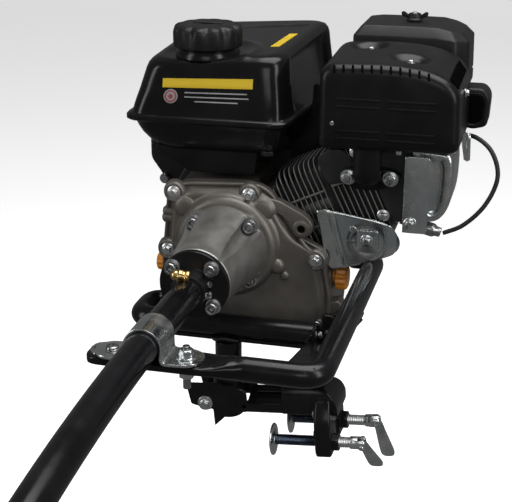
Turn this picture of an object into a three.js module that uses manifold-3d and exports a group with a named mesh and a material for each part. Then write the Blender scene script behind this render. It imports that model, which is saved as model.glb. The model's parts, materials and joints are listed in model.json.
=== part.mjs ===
// Petrol long-tail motor for small boats: a horizontal-shaft engine on a tube frame,
// a long steel shaft tube with a propeller, and a transom bracket that steers and tilts.
// Millimetres, +Z up. The crank axis runs along Y, its output end towards -Y, and the
// cylinder leans towards +X. Shapes are laid out about the crank axis, where it meets the
// engine's output face, and the whole motor is then moved so that the origin is the
// transom seat.
import * as THREE from 'three';
import { mergeVertices } from 'three/addons/utils/BufferGeometryUtils.js';
import { ConvexGeometry } from 'three/addons/geometries/ConvexGeometry.js';
import Module from 'manifold-3d';

const wasm = await Module();
wasm.setup();

// ---- driving dimensions -------------------------------------------------------------
const GAP = 0.3;                       // left between pieces that touch

// engine
const CRANK_HEIGHT = 106;              // crank axis above the feet
const OUTPUT_BOLT = 32.5;              // half the spacing of the four output-face bolts
const COVER_FRONT = 10;                // y of the side cover's front
const CASE_FRONT = 25;                 // y where the side cover meets the crankcase
const CASE_BACK = 112;
const CYLINDER_LEAN = 25 * Math.PI / 180;
const CYLINDER_Y = 66;
const BORE = 34;                       // bore radius
const FIN_PITCH = 6.2;
const TANK = { seam: 145, bottom: 104, top: 210, flare: 0.075 };
const COVER_TOP = 240;                 // top of the air cleaner's cover
const CAP = { x: -35, y: 60, r: 38, lobes: 12 };
const LEAD_R = 2.6;

// bell housing and shaft line
const BELL_LENGTH = 112;
const FLANGE_THICK = 8;
const TUBE_R = 16;
const TUBE_WALL = 2.5;
const TUBE_STRAIGHT = 148;             // straight length from the flange to the bend
const BEND_R = 1900;
const BEND_ANGLE = 16 * Math.PI / 180;
const TAIL_LENGTH = 570;               // straight length from the bend to the bearing
const SHAFT_R = 5;

// frame
const BAR_R = 12;
const FRONT_BAR = { y: -258, z: -21.5, left: 70 };
const TAB = { left: -62, right: 62, half: 20, thick: 9, hole: 4.4 };
const RAIL = { x: 164, back: 60, end: 136 };
const CROSSBAR = { y: -6, z: -93, r: 13, left: -105, right: 112, back: 46 };
const POST = { x: 4, y: -3, r: 15.5, bottom: -150 };
const STRAP = { y: -262, half: 20, thick: 3, foot: 54, bolt: 37 };

// transom bracket, laid out about its tilt pin (U along the beam, W up)
const PIN = { x: -17, y: -3, z: -184.5, r: 5 };
const BRACKET_LEAN = -5 * Math.PI / 180;
const BEAM = { left: 44, right: 158, top: 20, bottom: -12, half: 27, wall: 4 };
const LEG = { left: 131, right: 150, bottom: -58, half: 43 };
const SCREW = { y: 28, w: -43, r: 6.5, pad: 19, length: 106 };
const NEAR_PAD = 78;
const FAR_PAD = 86;
const HANDLE = 50;
const SEAT = { u: 88, w: BEAM.bottom };

// ---- finishes -----------------------------------------------------------------------
const finish = (color, roughness, metalness) =>
  new THREE.MeshStandardMaterial({ color, roughness, metalness });
const glossBlack = finish(0x0b0b0c, 0.18, 0.1);
const satinBlack = finish(0x131314, 0.45, 0.1);
const plasticBlack = finish(0x141415, 0.5, 0.0);
const casting = finish(0x9b9489, 0.5, 0.8);
const brightCasting = finish(0xb5b3ae, 0.42, 0.85);
const darkCasting = finish(0x3a3a3a, 0.5, 0.7);
const zinc = finish(0xc3c6c6, 0.28, 0.95);
const steel = finish(0x8d9094, 0.3, 0.95);
const brass = finish(0xb08a45, 0.3, 0.95);
const orangePlastic = finish(0xe08a1c, 0.5, 0.0);
const rubber = finish(0x0d0d0d, 0.7, 0.0);

// ---- helpers ------------------------------------------------------------------------
const motor = new THREE.Group();
const bracket = new THREE.Group();
bracket.position.set(PIN.x, PIN.y, PIN.z);
bracket.rotation.y = BRACKET_LEAN;
const tail = new THREE.Group();
motor.add(bracket, tail);

function add(name, shape, material, group = motor) {
  const geometry = shape instanceof THREE.BufferGeometry ? shape : toGeometry(shape);
  const mesh = new THREE.Mesh(geometry, material);
  mesh.name = name;
  group.add(mesh);
  return mesh;
}

function toSolid(source) {
  const bare = source.clone();
  bare.deleteAttribute('normal');
  bare.deleteAttribute('uv');
  const merged = mergeVertices(bare, 1e-4);
  return new wasm.Manifold(new wasm.Mesh({
    numProp: 3,
    vertProperties: new Float32Array(merged.attributes.position.array),
    triVerts: new Uint32Array(merged.index.array),
  }));
}

function toGeometry(solid) {
  const mesh = solid.getMesh();
  const geometry = new THREE.BufferGeometry();
  geometry.setAttribute('position', new THREE.BufferAttribute(mesh.vertProperties, 3));
  geometry.setIndex(new THREE.BufferAttribute(mesh.triVerts, 1));
  return geometry;
}

function join(first, ...others) {
  return others.reduce((sum, next) => sum.add(toSolid(next)), toSolid(first));
}

function cut(solid, ...tools) {
  return tools.reduce((left, tool) => left.subtract(toSolid(tool)), solid);
}

// a block between two corners
function block(x0, x1, y0, y1, z0, z1) {
  const shape = new THREE.BoxGeometry(x1 - x0, y1 - y0, z1 - z0);
  return shape.translate((x0 + x1) / 2, (y0 + y1) / 2, (z0 + z1) / 2);
}

// a round bar or frustum from y0 to y1 along Y
function barY(r0, r1, x, z, y0, y1, sides = 24) {
  const shape = new THREE.CylinderGeometry(r1, r0, y1 - y0, sides);
  return shape.translate(x, (y0 + y1) / 2, z);
}

// a round bar from x0 to x1 along X
function barX(radius, x0, x1, y, z, sides = 16) {
  const shape = new THREE.CylinderGeometry(radius, radius, x1 - x0, sides).rotateZ(-Math.PI / 2);
  return shape.translate((x0 + x1) / 2, y, z);
}

// a round bar or frustum from z0 to z1 along Z
function barZ(r0, r1, x, y, z0, z1, sides = 20) {
  const shape = new THREE.CylinderGeometry(r1, r0, z1 - z0, sides).rotateX(Math.PI / 2);
  return shape.translate(x, y, (z0 + z1) / 2);
}

// a flat outline in X and Z, carried from y0 to y1
function slab(points, y0, y1, bevel = 0) {
  const outline = new THREE.Shape(points.map(([x, z]) => new THREE.Vector2(x, z)));
  const depth = y1 - y0 - 2 * bevel;
  const settings = { depth, bevelEnabled: bevel > 0, bevelSize: bevel, bevelThickness: bevel,
    bevelOffset: -bevel, bevelSegments: 1, curveSegments: 6 };
  return new THREE.ExtrudeGeometry(outline, settings).rotateX(Math.PI / 2)
    .translate(0, y1 - bevel, 0);
}

// a flat outline in Y and Z, carried from x0 to x1
function slabX(points, x0, x1) {
  const outline = new THREE.Shape(points.map(([y, z]) => new THREE.Vector2(y, z)));
  return new THREE.ExtrudeGeometry(outline, { depth: x1 - x0, bevelEnabled: false })
    .rotateX(Math.PI / 2).rotateZ(Math.PI / 2).translate(x0, 0, 0);
}

// a flat outline in X and Y, carried from z0 to z1
function sheet(points, z0, z1, bevel = 0) {
  const outline = new THREE.Shape(points.map(([x, y]) => new THREE.Vector2(x, y)));
  const depth = z1 - z0 - 2 * bevel;
  const settings = { depth, bevelEnabled: bevel > 0, bevelSize: bevel, bevelThickness: bevel,
    bevelOffset: -bevel, bevelSegments: 1, curveSegments: 6 };
  return new THREE.ExtrudeGeometry(outline, settings).translate(0, 0, z0 + bevel);
}

// corner points of a rectangle with each corner cut at 45 degrees
function chamfered(x0, x1, y0, y1, c) {
  return [[x0 + c, y0], [x1 - c, y0], [x1, y0 + c], [x1, y1 - c],
    [x1 - c, y1], [x0 + c, y1], [x0, y1 - c], [x0, y0 + c]];
}

// the closed convex shell round a list of points
function hull(points) {
  return new ConvexGeometry(points);
}

function cornersOf(shape) {
  const at = shape.attributes.position;
  return Array.from({ length: at.count }, (_, i) => new THREE.Vector3().fromBufferAttribute(at, i));
}

function ring(radius, sides) {
  const points = [];
  for (let i = 0; i < sides; i += 1) {
    const turn = 2 * Math.PI * i / sides;
    points.push(new THREE.Vector2(radius * Math.cos(turn), radius * Math.sin(turn)));
  }
  return points;
}

// a round section carried along a curve, hollow when a wall is given
function pipe(curve, radius, sides, steps, wall = 0) {
  const section = new THREE.Shape(ring(radius, sides));
  if (wall > 0) section.holes.push(new THREE.Path(ring(radius - wall, sides)));
  return new THREE.ExtrudeGeometry(section, { extrudePath: curve, steps, bevelEnabled: false });
}

// a path of straight runs with round corners
function routed(points, radius) {
  const path = new THREE.CurvePath();
  const at = points.map((p) => new THREE.Vector3(...p));
  let from = at[0];
  for (let i = 1; i < at.length - 1; i += 1) {
    const before = at[i].clone().sub(at[i - 1]).setLength(radius);
    const after = at[i + 1].clone().sub(at[i]).setLength(radius);
    const start = at[i].clone().sub(before);
    const end = at[i].clone().add(after);
    path.add(new THREE.LineCurve3(from, start));
    path.add(new THREE.QuadraticBezierCurve3(start, at[i], end));
    from = end;
  }
  path.add(new THREE.LineCurve3(from, at[at.length - 1]));
  return path;
}

// moves a shape laid out about the cylinder's own axis (X along the axis, Z across)
function lean(shape) {
  return shape.rotateY(-CYLINDER_LEAN);
}

// a hexagon head with its washer face towards +Y
function headY(across, x, z, y0, y1) {
  return barY(across / 2, across / 2, x, z, y0, y1, 6);
}

// ---- engine castings ----------------------------------------------------------------
const coverOutline = [[-72, -104], [118, -104], [122, -60], [114, -22], [112, 2], [94, 32],
  [52, 64], [34, 75], [-54, 70], [-73, 58], [-77, 12], [-81, -20], [-81, -60]];

const coverBolts = [[-63, 58], [26, 62], [103, -10], [-72, -12], [104, -92], [-60, -92]];

function barrelSpace(grow) {
  return lean(block(58 - grow, 140, 28 - grow, 104 + grow, -50 - grow, 54 + grow));
}

function makeCrankcase() {
  const inner = coverOutline.map(([x, z]) => [x * 0.86 + 2, z * 0.84]);
  const shell = join(slab(coverOutline, CASE_FRONT + GAP, CASE_BACK),
    block(-84, 130, 34, 104, -CRANK_HEIGHT, -94));
  const hollow = cut(shell, slab(inner, CASE_FRONT - 5, CASE_BACK - 8));
  const open = cut(hollow, barrelSpace(GAP), barY(14, 14, 0, 0, 90, 130));
  const plugs = cut(open, barX(9, -100, -60, 44, -40, 12));
  add('crankcase', cut(plugs, barX(9, 90, 130, 44, -40, 12)), casting);
}

function makeCover() {
  const boss = barY(58, 50, 0, 0, 0, COVER_FRONT + 1, 32);
  const pads = coverBolts.map(([x, z]) => barY(9, 9, x, z, 8, CASE_FRONT, 10));
  const body = join(slab(coverOutline, COVER_FRONT, CASE_FRONT, 2), boss, ...pads);
  const bored = cut(body, barY(20, 20, 0, 0, -5, 40, 20));
  add('crankcase_cover', bored, casting);
}

function finStack(from, to, half, front, back, across) {
  const plates = [];
  for (let s = from; s < to; s += FIN_PITCH) {
    plates.push(block(s, s + 2, front, back, -half, across));
  }
  return plates;
}

function makeCylinder() {
  const core = block(58, 133, 33, 99, -41, 43);
  const barrel = join(core, ...finStack(64, 130, 49, 28.5, 103.5, 53));
  const bored = cut(barrel, barX(BORE, 40, 150, CYLINDER_Y, 0, 28));
  add('cylinder_barrel', lean(toGeometry(bored)), darkCasting);
  const headCore = block(133 + GAP, 186, 32, 100, -43, 45);
  const head = join(headCore, ...finStack(137, 184, 50, 27, 104, 55));
  const chamber = cut(head, barX(BORE - 4, 120, 141, CYLINDER_Y, 0, 24));
  const rockerBox = slab([[148, 122], [167, 78], [186, 38], [205.7, 38], [205.7, 122]], 27, 100);
  const plugWell = lean(barX(6.5, 150, 225, 84, -30, 12));
  add('cylinder_head', cut(join(lean(toGeometry(chamber)), rockerBox), plugWell), darkCasting);
}

function makeValveCover() {
  const outline = [[214, 41], [234, 41], [246, 54], [251, 78], [251, 118], [244, 124], [214, 124]];
  const body = join(slab(outline, 24, 98, 5), block(206, 215, 20, 102, 34, 126));
  const joined = cut(body, lean(block(100, 186 + GAP, 0, 130, -80, 80)));
  add('valve_cover', joined, zinc);
}

function makePistonAndCrank() {
  const crown = barX(BORE - 0.3, 92, 128, CYLINDER_Y, 0, 28);
  const skirt = cut(toSolid(crown), barX(BORE - 5, 80, 120, CYLINDER_Y, 0, 24));
  add('piston', lean(toGeometry(skirt)), brightCasting);
  const webs = [46, 76].map((y) => barY(38, 38, 0, 0, y, y + 10, 28));
  const shaft = barY(12.5, 12.5, 0, 0, -52, 190, 20);
  const crank = join(shaft, ...webs, barY(12, 12, 27, 0, 50, 80, 16),
    barY(28, 28, 0, 0, -68, -44, 24));
  add('crankshaft', cut(crank, block(-10, 10, 57, 75, -10, 10)), steel);
  const wheel = join(barY(84, 84, 0, 0, 128, 146, 36), barY(26, 26, 0, 0, 146, 162, 20));
  const blades = [];
  for (let i = 0; i < 12; i += 1) {
    blades.push(block(40, 80, 145, 160, -1.5, 1.5).rotateY(i * Math.PI / 6));
  }
  add('flywheel', cut(join(toGeometry(wheel), ...blades), barY(12.8, 12.8, 0, 0, 100, 200, 20)),
    darkCasting);
  const drum = cut(join(barY(33, 33, 0, 0, -78, -40, 24), barY(14, 14, 0, 0, -92, -78, 16)),
    barY(30, 30, 0, 0, -72, -30, 24), barY(SHAFT_R + GAP, SHAFT_R + GAP, 0, 0, -100, -60, 12));
  add('clutch_drum', drum, steel);
}

// ---- cooling, fuel and starting -----------------------------------------------------
function makeBlower() {
  const drum = barY(101, 98, 0, 0, CASE_BACK + GAP, 190, 40);
  const scroll = lean(block(0, 118, CASE_BACK + GAP, 176, -52, 50));
  const duct = lean(block(0, 186, CASE_BACK + GAP, 128, -52, 58));
  const switchBox = slab([[-127, 92], [-127, 66], [-104, 34], [-80, 34], [-80, 92]], 114, 158);
  const shell = join(drum, scroll, duct, switchBox);
  const hollow = cut(shell, barY(92, 92, 0, 0, CASE_BACK - 5, 182, 36),
    lean(block(0, 112, CASE_BACK - 5, 170, -46, 44)),
    lean(block(0, 180, CASE_BACK - 5, 122, -46, 52)), barY(55, 55, 0, 0, 170, 200, 28),
    barX(7, -140, -121, 132, 79, 12), block(-200, 0, 100, 200, -140, -CRANK_HEIGHT + 6));
  add('blower_housing', hollow, satinBlack);
}

function makeRecoil() {
  const profile = [[0, 0], [72, 0], [88, 0], [88, 10], [78, 30], [50, 44], [0, 47]];
  const dome = new THREE.LatheGeometry(profile.map(([r, y]) => new THREE.Vector2(r, y)), 32)
    .translate(0, 190 + GAP, 0);
  const guide = block(-98, -70, 196, 216, 22, 46);
  const shell = cut(join(dome, guide), barY(70, 60, 0, 0, 180, 226, 28));
  add('recoil_cover', shell, satinBlack);
  const grip = join(barY(7, 7, -110, 34, 182, 230, 12), barX(5, -110, -98.4, 206, 34, 10));
  add('recoil_grip', grip, rubber);
}

// an outline whose right side widens towards the back
function flared(x0, x1, y0, y1, c) {
  return chamfered(x0, x1, y0, y1, c).map(([x, y]) =>
    [x > 0 ? x + TANK.flare * (y - y0) : x, y]);
}

// a closed shell between a flat lower outline and an upper one that may slope
function loft(lower, bottom, upper, top) {
  const under = lower.map(([x, y]) => new THREE.Vector3(x, y, bottom));
  const over = upper.map(([x, y]) => new THREE.Vector3(x, y, top(x, y)));
  return hull([...under, ...over]);
}

function makeTank() {
  const { seam, bottom, top } = TANK;
  const crown = (x, y) => top + 0.05 * x + 0.045 * (y - 25);
  const lower = loft(flared(-86, 54, 30, 216, 24), bottom,
    flared(-114, 63, 14, 238, 24), () => seam - 5);
  const lip = sheet(flared(-122, 69, 7, 246, 22), seam - 6, seam + 2);
  const upper = loft(flared(-116, 64, 11, 240, 20), seam,
    flared(-100, 59, 24, 232, 16), crown);
  const neck = barZ(22, 22, CAP.x, CAP.y, 200, top + 9, 24);
  const room = loft(flared(-80, 48, 36, 208, 20), bottom + 4,
    flared(-104, 50, 26, 226, 18), () => seam + 40);
  const filler = barZ(15, 15, CAP.x, CAP.y, 170, 240, 20);
  add('fuel_tank', cut(join(lower, lip, upper, neck), room, filler), glossBlack);
}

function makeCap() {
  const outline = [];
  const facets = 48;
  for (let i = 0; i < facets; i += 1) {
    const turn = 2 * Math.PI * i / facets;
    const radius = CAP.r + 2 * Math.cos(CAP.lobes * turn);
    outline.push([CAP.x + radius * Math.cos(turn), CAP.y + radius * Math.sin(turn)]);
  }
  const skirt = sheet(outline, 222, 238);
  const dome = barZ(36, 29, CAP.x, CAP.y, 237.5, 245, 32);
  const socket = barZ(22.4, 22.4, CAP.x, CAP.y, 215, 232, 20);
  add('fuel_cap', cut(join(skirt, dome), socket), plasticBlack);
}

// ---- intake and exhaust -------------------------------------------------------------
function makeIntake() {
  add('carburettor', join(block(150, 192, 130, 172, 112, 150), barX(9, 140, 150.5, 150, 130, 12),
    barZ(14, 12, 172, 150, 96, 113, 16)), casting);
  const base = block(118, 244, 112, 206, 150 + GAP, 168);
  add('air_cleaner_case', cut(toSolid(base), barZ(15, 15, 172, 158, 140, 164, 16)), plasticBlack);
  const cover = join(sheet(chamfered(119, 252, 114, 212, 16), 168 + GAP, 233, 3),
    sheet(chamfered(124, 247, 119, 207, 14), 232, COVER_TOP, 4));
  add('air_cleaner_cover', cut(cover, sheet(chamfered(124, 247, 119, 207, 14), 160, 216),
    block(246, 260, 90, 136 + GAP, 160, 177 + GAP)), plasticBlack);
  const nut = join(barZ(8, 6, 184, 163, COVER_TOP + GAP, COVER_TOP + 7, 12),
    block(170, 198, 161, 165, COVER_TOP + 3, COVER_TOP + 10));
  add('wing_nut', nut, plasticBlack);
  const elbow = sheet(chamfered(247, 280, 99, 136, 8), 130, 177, 3);
  add('intake_snorkel', elbow, plasticBlack);
}

const shieldOutline = [[107, 131], [115, 127], [250, 129], [260, 134], [256, 194], [246, 206],
  [222, 217], [190, 222], [120, 222], [109, 212]];

function makeExhaust() {
  const body = slab(shieldOutline, -16, 98, 5);
  const inner = shieldOutline.map(([x, z]) => [184 + (x - 184) * 0.965, 174 + (z - 174) * 0.95]);
  const shield = cut(toSolid(body), slab(inner, -12.5, 94.5),
    block(120, 246, -12.5, 94.5, 120, 140));
  add('muffler_shield', shield, satinBlack);
  const can = slab([[126, 152], [136, 142], [228, 142], [238, 152], [238, 184], [226, 194],
    [138, 200], [126, 190]], 0, 84, 4);
  add('muffler', can, steel);
  const route = routed([[160, 22, 88], [160, -1, 88], [160, -1, 141.4]], 14);
  const flange = block(134, 188, 17, 26, 78, 98);
  const duct = join(flange, pipe(route, 11.5, 10, 10));
  add('exhaust_elbow', duct, satinBlack);
}

// ---- head sheet metal, plug and lead ------------------------------------------------
function makeSheetMetal() {
  const strip = join(block(199, 226, 13, 15, 31, 118), block(199, 201, 14, 19.5, 31, 118));
  add('head_strip', strip, zinc);
  const shroud = cut(toSolid(block(106, 180, 26, 108, -60, -50.6)),
    block(100, 190, 28, 106, -58, -40));
  const apron = slab([[97, 40], [180, 36], [197, 12], [186, -6], [150, -24], [120, -34],
    [117, -10], [115, 2]], 21.5, 24);
  const railSpace = barY(BAR_R + GAP, BAR_R + GAP, RAIL.x, FRONT_BAR.z, 0, 70, 20);
  const tie = lean(block(112, 176, 23, 28, -60, -52));
  add('lower_shroud', cut(join(lean(toGeometry(shroud)), apron, tie), railSpace), zinc);
}

function makePlug() {
  const cap = barX(8, 0, 24, 0, 0, 12).rotateY(0.25).translate(213, 70, 21);
  const inner = barX(5, -24, 1, 0, 0, 10).rotateY(0.25).translate(213, 70, 21);
  const space = lean(block(100, 186 + GAP, 0, 130, -80, 80));
  add('spark_plug_cap', cut(join(cap, inner), space), steel);
  const route = new THREE.CatmullRomCurve3([[238.6, 70, 14.6], [260, 72, 25], [284, 76, 51],
    [295, 80, 84], [286, 86, 110], [268, 96, 122], [244, 116, 119], [206, 130, 106],
    [164.6, 132, 90]].map((p) => new THREE.Vector3(...p)));
  add('ignition_lead', pipe(route, LEAD_R, 8, 40), rubber);
}

function makeControls() {
  const lever = slabX([[79, 130], [89, 130], [90, 112], [84, 96], [78, 112]], 258.3, 260.8);
  add('throttle_lever', lever, zinc);
  add('choke_lever', slabX([[148, 136], [158, 136], [184, 131], [184, 125], [150, 124]], 192.3, 195),
    plasticBlack);
  add('fuel_cock_lever', slabX([[145, 136], [155, 136], [153, 106], [147, 106]], 137, 139.7),
    plasticBlack);
  add('stop_switch', barY(6.5, 6.5, -108, 42, 107, 114 - GAP, 12), steel);
  add('dipstick_left', join(barX(11, -96, -81.5, 44, -40, 14), barX(8.2, -82, -66, 44, -40, 12)),
    orangePlastic);
  add('dipstick_right', join(barX(13, 121.5, 135, 44, -40, 14), barX(8.2, 102, 122, 44, -40, 12)),
    orangePlastic);
}

// ---- bell housing and shaft line ----------------------------------------------------
function makeBell() {
  const outer = [[0, 0], [56, 0], [56, 10], [47, 18], [38, 98], [38, BELL_LENGTH], [0, BELL_LENGTH]];
  const inner = [[0, -5], [36.5, -5], [36.5, 90], [24, 104], [24, 120], [0, 120]];
  const turned = (profile) => new THREE.LatheGeometry(
    profile.map(([r, y]) => new THREE.Vector2(r, y)), 36).rotateX(Math.PI).translate(0, -GAP, 0);
  const corners = [[-1, 1], [1, 1], [1, -1], [-1, -1]];
  const pockets = corners.map(([sx, sz]) =>
    barY(8.5, 8.5, sx * OUTPUT_BOLT, sz * OUTPUT_BOLT, -60, -10 - GAP, 14));
  add('bell_housing', cut(toSolid(turned(outer)), turned(inner), ...pockets), brightCasting);
  corners.forEach(([sx, sz], i) => {
    const head = barY(6.5, 6.5, sx * OUTPUT_BOLT, sz * OUTPUT_BOLT, -21, -10.6, 14);
    add(`bell_screw_${i + 1}`, head, steel);
  });
  const face = -BELL_LENGTH - 2 * GAP;
  const disc = join(barY(38, 38, 0, 0, face - FLANGE_THICK, face, 36),
    barY(21, 21, 0, 0, face - 36, face - 4, 24));
  const bored = cut(disc, barY(TUBE_R + GAP, TUBE_R + GAP, 0, 0, -200, face - 5, 24),
    barY(SHAFT_R + 3, SHAFT_R + 3, 0, 0, -140, -90, 16));
  add('tube_flange', bored, satinBlack);
  const fitting = join(barZ(6, 6, 0, 0, 21 + GAP, 25, 6), barZ(4, 2.6, 0, 0, 24.5, 34, 10));
  add('grease_fitting', toGeometry(fitting).rotateY(-0.75).translate(0, -134, 0), brass);
}

class ShaftLine extends THREE.Curve {
  constructor(start, tailLength) {
    super();
    this.start = start;
    this.straight = TUBE_STRAIGHT + start;
    this.bend = BEND_R * BEND_ANGLE;
    this.total = this.straight + this.bend + tailLength;
  }

  getPoint(t, target = new THREE.Vector3()) {
    const run = t * this.total;
    const bentRun = Math.min(Math.max(run - this.straight, 0), this.bend);
    const after = Math.max(run - this.straight - this.bend, 0);
    const angle = bentRun / BEND_R;
    const along = Math.min(run, this.straight) + BEND_R * Math.sin(angle) + after * Math.cos(angle);
    const drop = BEND_R * (1 - Math.cos(angle)) + after * Math.sin(angle);
    return target.set(0, -BELL_LENGTH - 2 + this.start - along, -drop);
  }
}

function makeShaftLine() {
  const line = new ShaftLine(-5, TAIL_LENGTH);
  const tube = pipe(line, TUBE_R, 14, 15, TUBE_WALL);
  add('shaft_tube', tube, glossBlack);
  add('drive_shaft', pipe(new ShaftLine(36, TAIL_LENGTH - 14), SHAFT_R, 6, 15), steel);
  const end = line.getPoint(1);
  tail.position.copy(end);
  tail.rotation.x = BEND_ANGLE;
}

// parts about the tail end: -Y runs on along the shaft line
function makeTail() {
  const sleeve = join(barY(21, 21, 0, 0, -30, 24, 20), barY(17, 23, 0, 0, -66, -29, 20));
  const bored = cut(sleeve, barY(TUBE_R + GAP, TUBE_R + GAP, 0, 0, -GAP, 40, 20),
    barY(8.6, 8.6, 0, 0, -80, 10, 14));
  add('propeller_bearing', bored, satinBlack, tail);
  const blades = [0, 1, 2].map((i) => new THREE.BoxGeometry(46, 3.2, 74)
    .rotateZ(0.55).translate(0, -92, 52).rotateY(i * 2 * Math.PI / 3));
  const hub = barY(14, 22, 0, 0, -124, -66 - GAP, 20);
  const shaft = barY(8, 8, 0, 0, -70, -16, 14);
  add('propeller', join(hub, shaft, ...blades), steel, tail);
  const fin = slabX([[20, -21.6], [-24, -22], [-70, -62], [-84, -122], [-66, -122], [-14, -60]],
    -2.5, 2.5);
  add('skeg', fin, satinBlack, tail);
  const plate = join(sheet(chamfered(-62, 62, -150, -20, 22), 104, 108),
    slabX([[14, 21.6], [-28, 23.4], [-60, 105], [-24, 105]], -3, 3));
  add('anti_ventilation_plate', plate, satinBlack, tail);
}

// ---- frame --------------------------------------------------------------------------
function makeFrame() {
  const bar = routed([[FRONT_BAR.left, FRONT_BAR.y, FRONT_BAR.z], [RAIL.x, FRONT_BAR.y, FRONT_BAR.z],
    [RAIL.x, RAIL.back, FRONT_BAR.z], [RAIL.end, RAIL.back, FRONT_BAR.z]], 22);
  const { y, z } = FRONT_BAR;
  const tab = sheet(chamfered(TAB.left, TAB.right, y - TAB.half, y + TAB.half, 8),
    z - TAB.thick / 2, z + TAB.thick / 2);
  const neck = barX(BAR_R, FRONT_BAR.left, FRONT_BAR.left + 2, y, z, 12);
  const flattened = hull([...cornersOf(neck), ...cornersOf(block(56.5, 58, y - 18, y + 18,
    z - TAB.thick / 2, z + TAB.thick / 2))]);
  const holes = [-1, 1].map((side) =>
    barZ(TAB.hole, TAB.hole, side * STRAP.bolt, STRAP.y, -60, 0, 12));
  const rail = cut(join(pipe(bar, BAR_R, 12, 30), flattened, tab), ...holes);
  add('frame_rail', rail, glossBlack);

  const cross = routed([[CROSSBAR.right, CROSSBAR.y, CROSSBAR.z], [CROSSBAR.left, CROSSBAR.y,
    CROSSBAR.z], [CROSSBAR.left, CROSSBAR.back, CROSSBAR.z], [-87, CROSSBAR.back, CROSSBAR.z]], 17);
  const bed = block(-112, 132, -10, 108, -112, -106 - GAP);
  const strut = slab([[108, -104], [136, -104], [164, -62], [132, -62], [118, -78]], -12, 2, 2);
  const brace = hull([...cornersOf(block(102, 128, -16, -10, -104, -99)),
    ...cornersOf(block(122, 149, -245, -241, -30, -25))]);
  const saddles = [-80, 88].map((x) => block(x, x + 8, -12, 0, -110, -98));
  add('engine_bed', join(pipe(cross, CROSSBAR.r, 12, 18), bed, strut, brace, ...saddles), glossBlack);
  const post = cut(toSolid(barZ(POST.r, POST.r, POST.x, POST.y, POST.bottom, -112 - GAP, 24)),
    barZ(9.3, 9.3, POST.x, POST.y, -160, -126, 16));
  add('steering_post', post, glossBlack);
}

function makeStrap() {
  const { y, half, thick, foot, bolt } = STRAP;
  const outer = TUBE_R + GAP + thick;
  const footTop = -TUBE_R - GAP + thick - 0.4;
  const body = join(barY(outer, outer, 0, 0, y - half, y + half, 28),
    block(-outer, outer, y - half, y + half, footTop - thick, 0),
    block(-foot, foot, y - half, y + half, footTop - thick, footTop));
  const channel = block(-TUBE_R - GAP, TUBE_R + GAP, y - 30, y + 30, -40, 0);
  const lower = block(-40, 40, y - 30, y + 30, -40, footTop - thick);
  const holes = [-1, 1].map((side) => barZ(4.4, 4.4, side * bolt, y, -40, 0, 12));
  add('tube_strap', cut(body, barY(TUBE_R + GAP, TUBE_R + GAP, 0, 0, -400, -100, 24), channel,
    lower, ...holes), zinc);
  [['left', -1], ['right', 1]].forEach(([side, sign]) => {
    const head = barZ(7.5, 7.5, sign * bolt, y, footTop + GAP, footTop + 6, 6);
    const shank = barZ(4, 4, sign * bolt, y, -60, footTop + 1, 10);
    add(`strap_bolt_${side}`, join(head, shank), zinc);
  });
}

// ---- transom bracket ----------------------------------------------------------------
function makeSwivel() {
  const body = join(barZ(18, 18, POST.x, POST.y, -206, POST.bottom - GAP, 24),
    barY(12, 12, PIN.x, PIN.z, PIN.y - 21, PIN.y + 21, 20),
    block(PIN.x, POST.x, PIN.y - 14, PIN.y + 14, PIN.z - 11, PIN.z + 11),
    barZ(9, 9, POST.x, POST.y, POST.bottom - 1, -128, 16));
  add('swivel_block', cut(body, barY(PIN.r + GAP, PIN.r + GAP, PIN.x, PIN.z, -60, 60, 16)),
    glossBlack);
}

// a screw hole or spindle along the beam
function barU(radius, u0, u1, side, sides = 14) {
  return barX(radius, u0, u1, side * SCREW.y, SCREW.w, sides);
}

function makeBracket() {
  const { left, right, top, bottom, half, wall } = BEAM;
  const arch = (grow) => chamfered(-half + grow, half - grow, bottom + grow, top - grow, 9);
  const beam = slabX(arch(0), left, right);
  const room = slabX(arch(wall), left - 5, right - 6);
  const notch = block(left - 5, 92, -21.5, 21.5, 0, 30);
  const leg = slabX([[-LEG.half, LEG.bottom], [-10, LEG.bottom], [-10, -24], [10, -24],
    [10, LEG.bottom], [LEG.half, LEG.bottom], [LEG.half, -20], [half, 10], [-half, 10],
    [-LEG.half, -20]], LEG.left, LEG.right);
  const nuts = [-1, 1].map((side) => barU(11, LEG.right - 1, LEG.right + 8, side, 6));
  const cheek = [[-22, 24], [-18, -2], [-5, -6], [8.7, -8], [8.7, -30], [31, -10], [50, -11],
    [50, 16], [40, 20], [12, 24]];
  const cheeks = [slab(cheek, -27, -22), slab(cheek, 22, 27)];
  const corner = slab([[136, 22], [166, 22], [166, -12]], -60, 60);
  const body = cut(join(beam, leg, ...nuts), room, notch, corner);
  const whole = cheeks.reduce((sum, next) => sum.add(toSolid(next)), body);
  const bores = [-1, 1].map((side) => barU(SCREW.r + GAP, 100, 190, side));
  add('transom_bracket', cut(whole, ...bores, barY(PIN.r + GAP, PIN.r + GAP, 0, 0, -60, 60, 16)),
    glossBlack, bracket);
  const bolt = join(barY(PIN.r, PIN.r, 0, 0, -32, 34, 14), headY(15, 0, 0, -34, -28),
    headY(15, 0, 0, 28, 34));
  add('tilt_bolt', bolt, steel, bracket);
}

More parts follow.
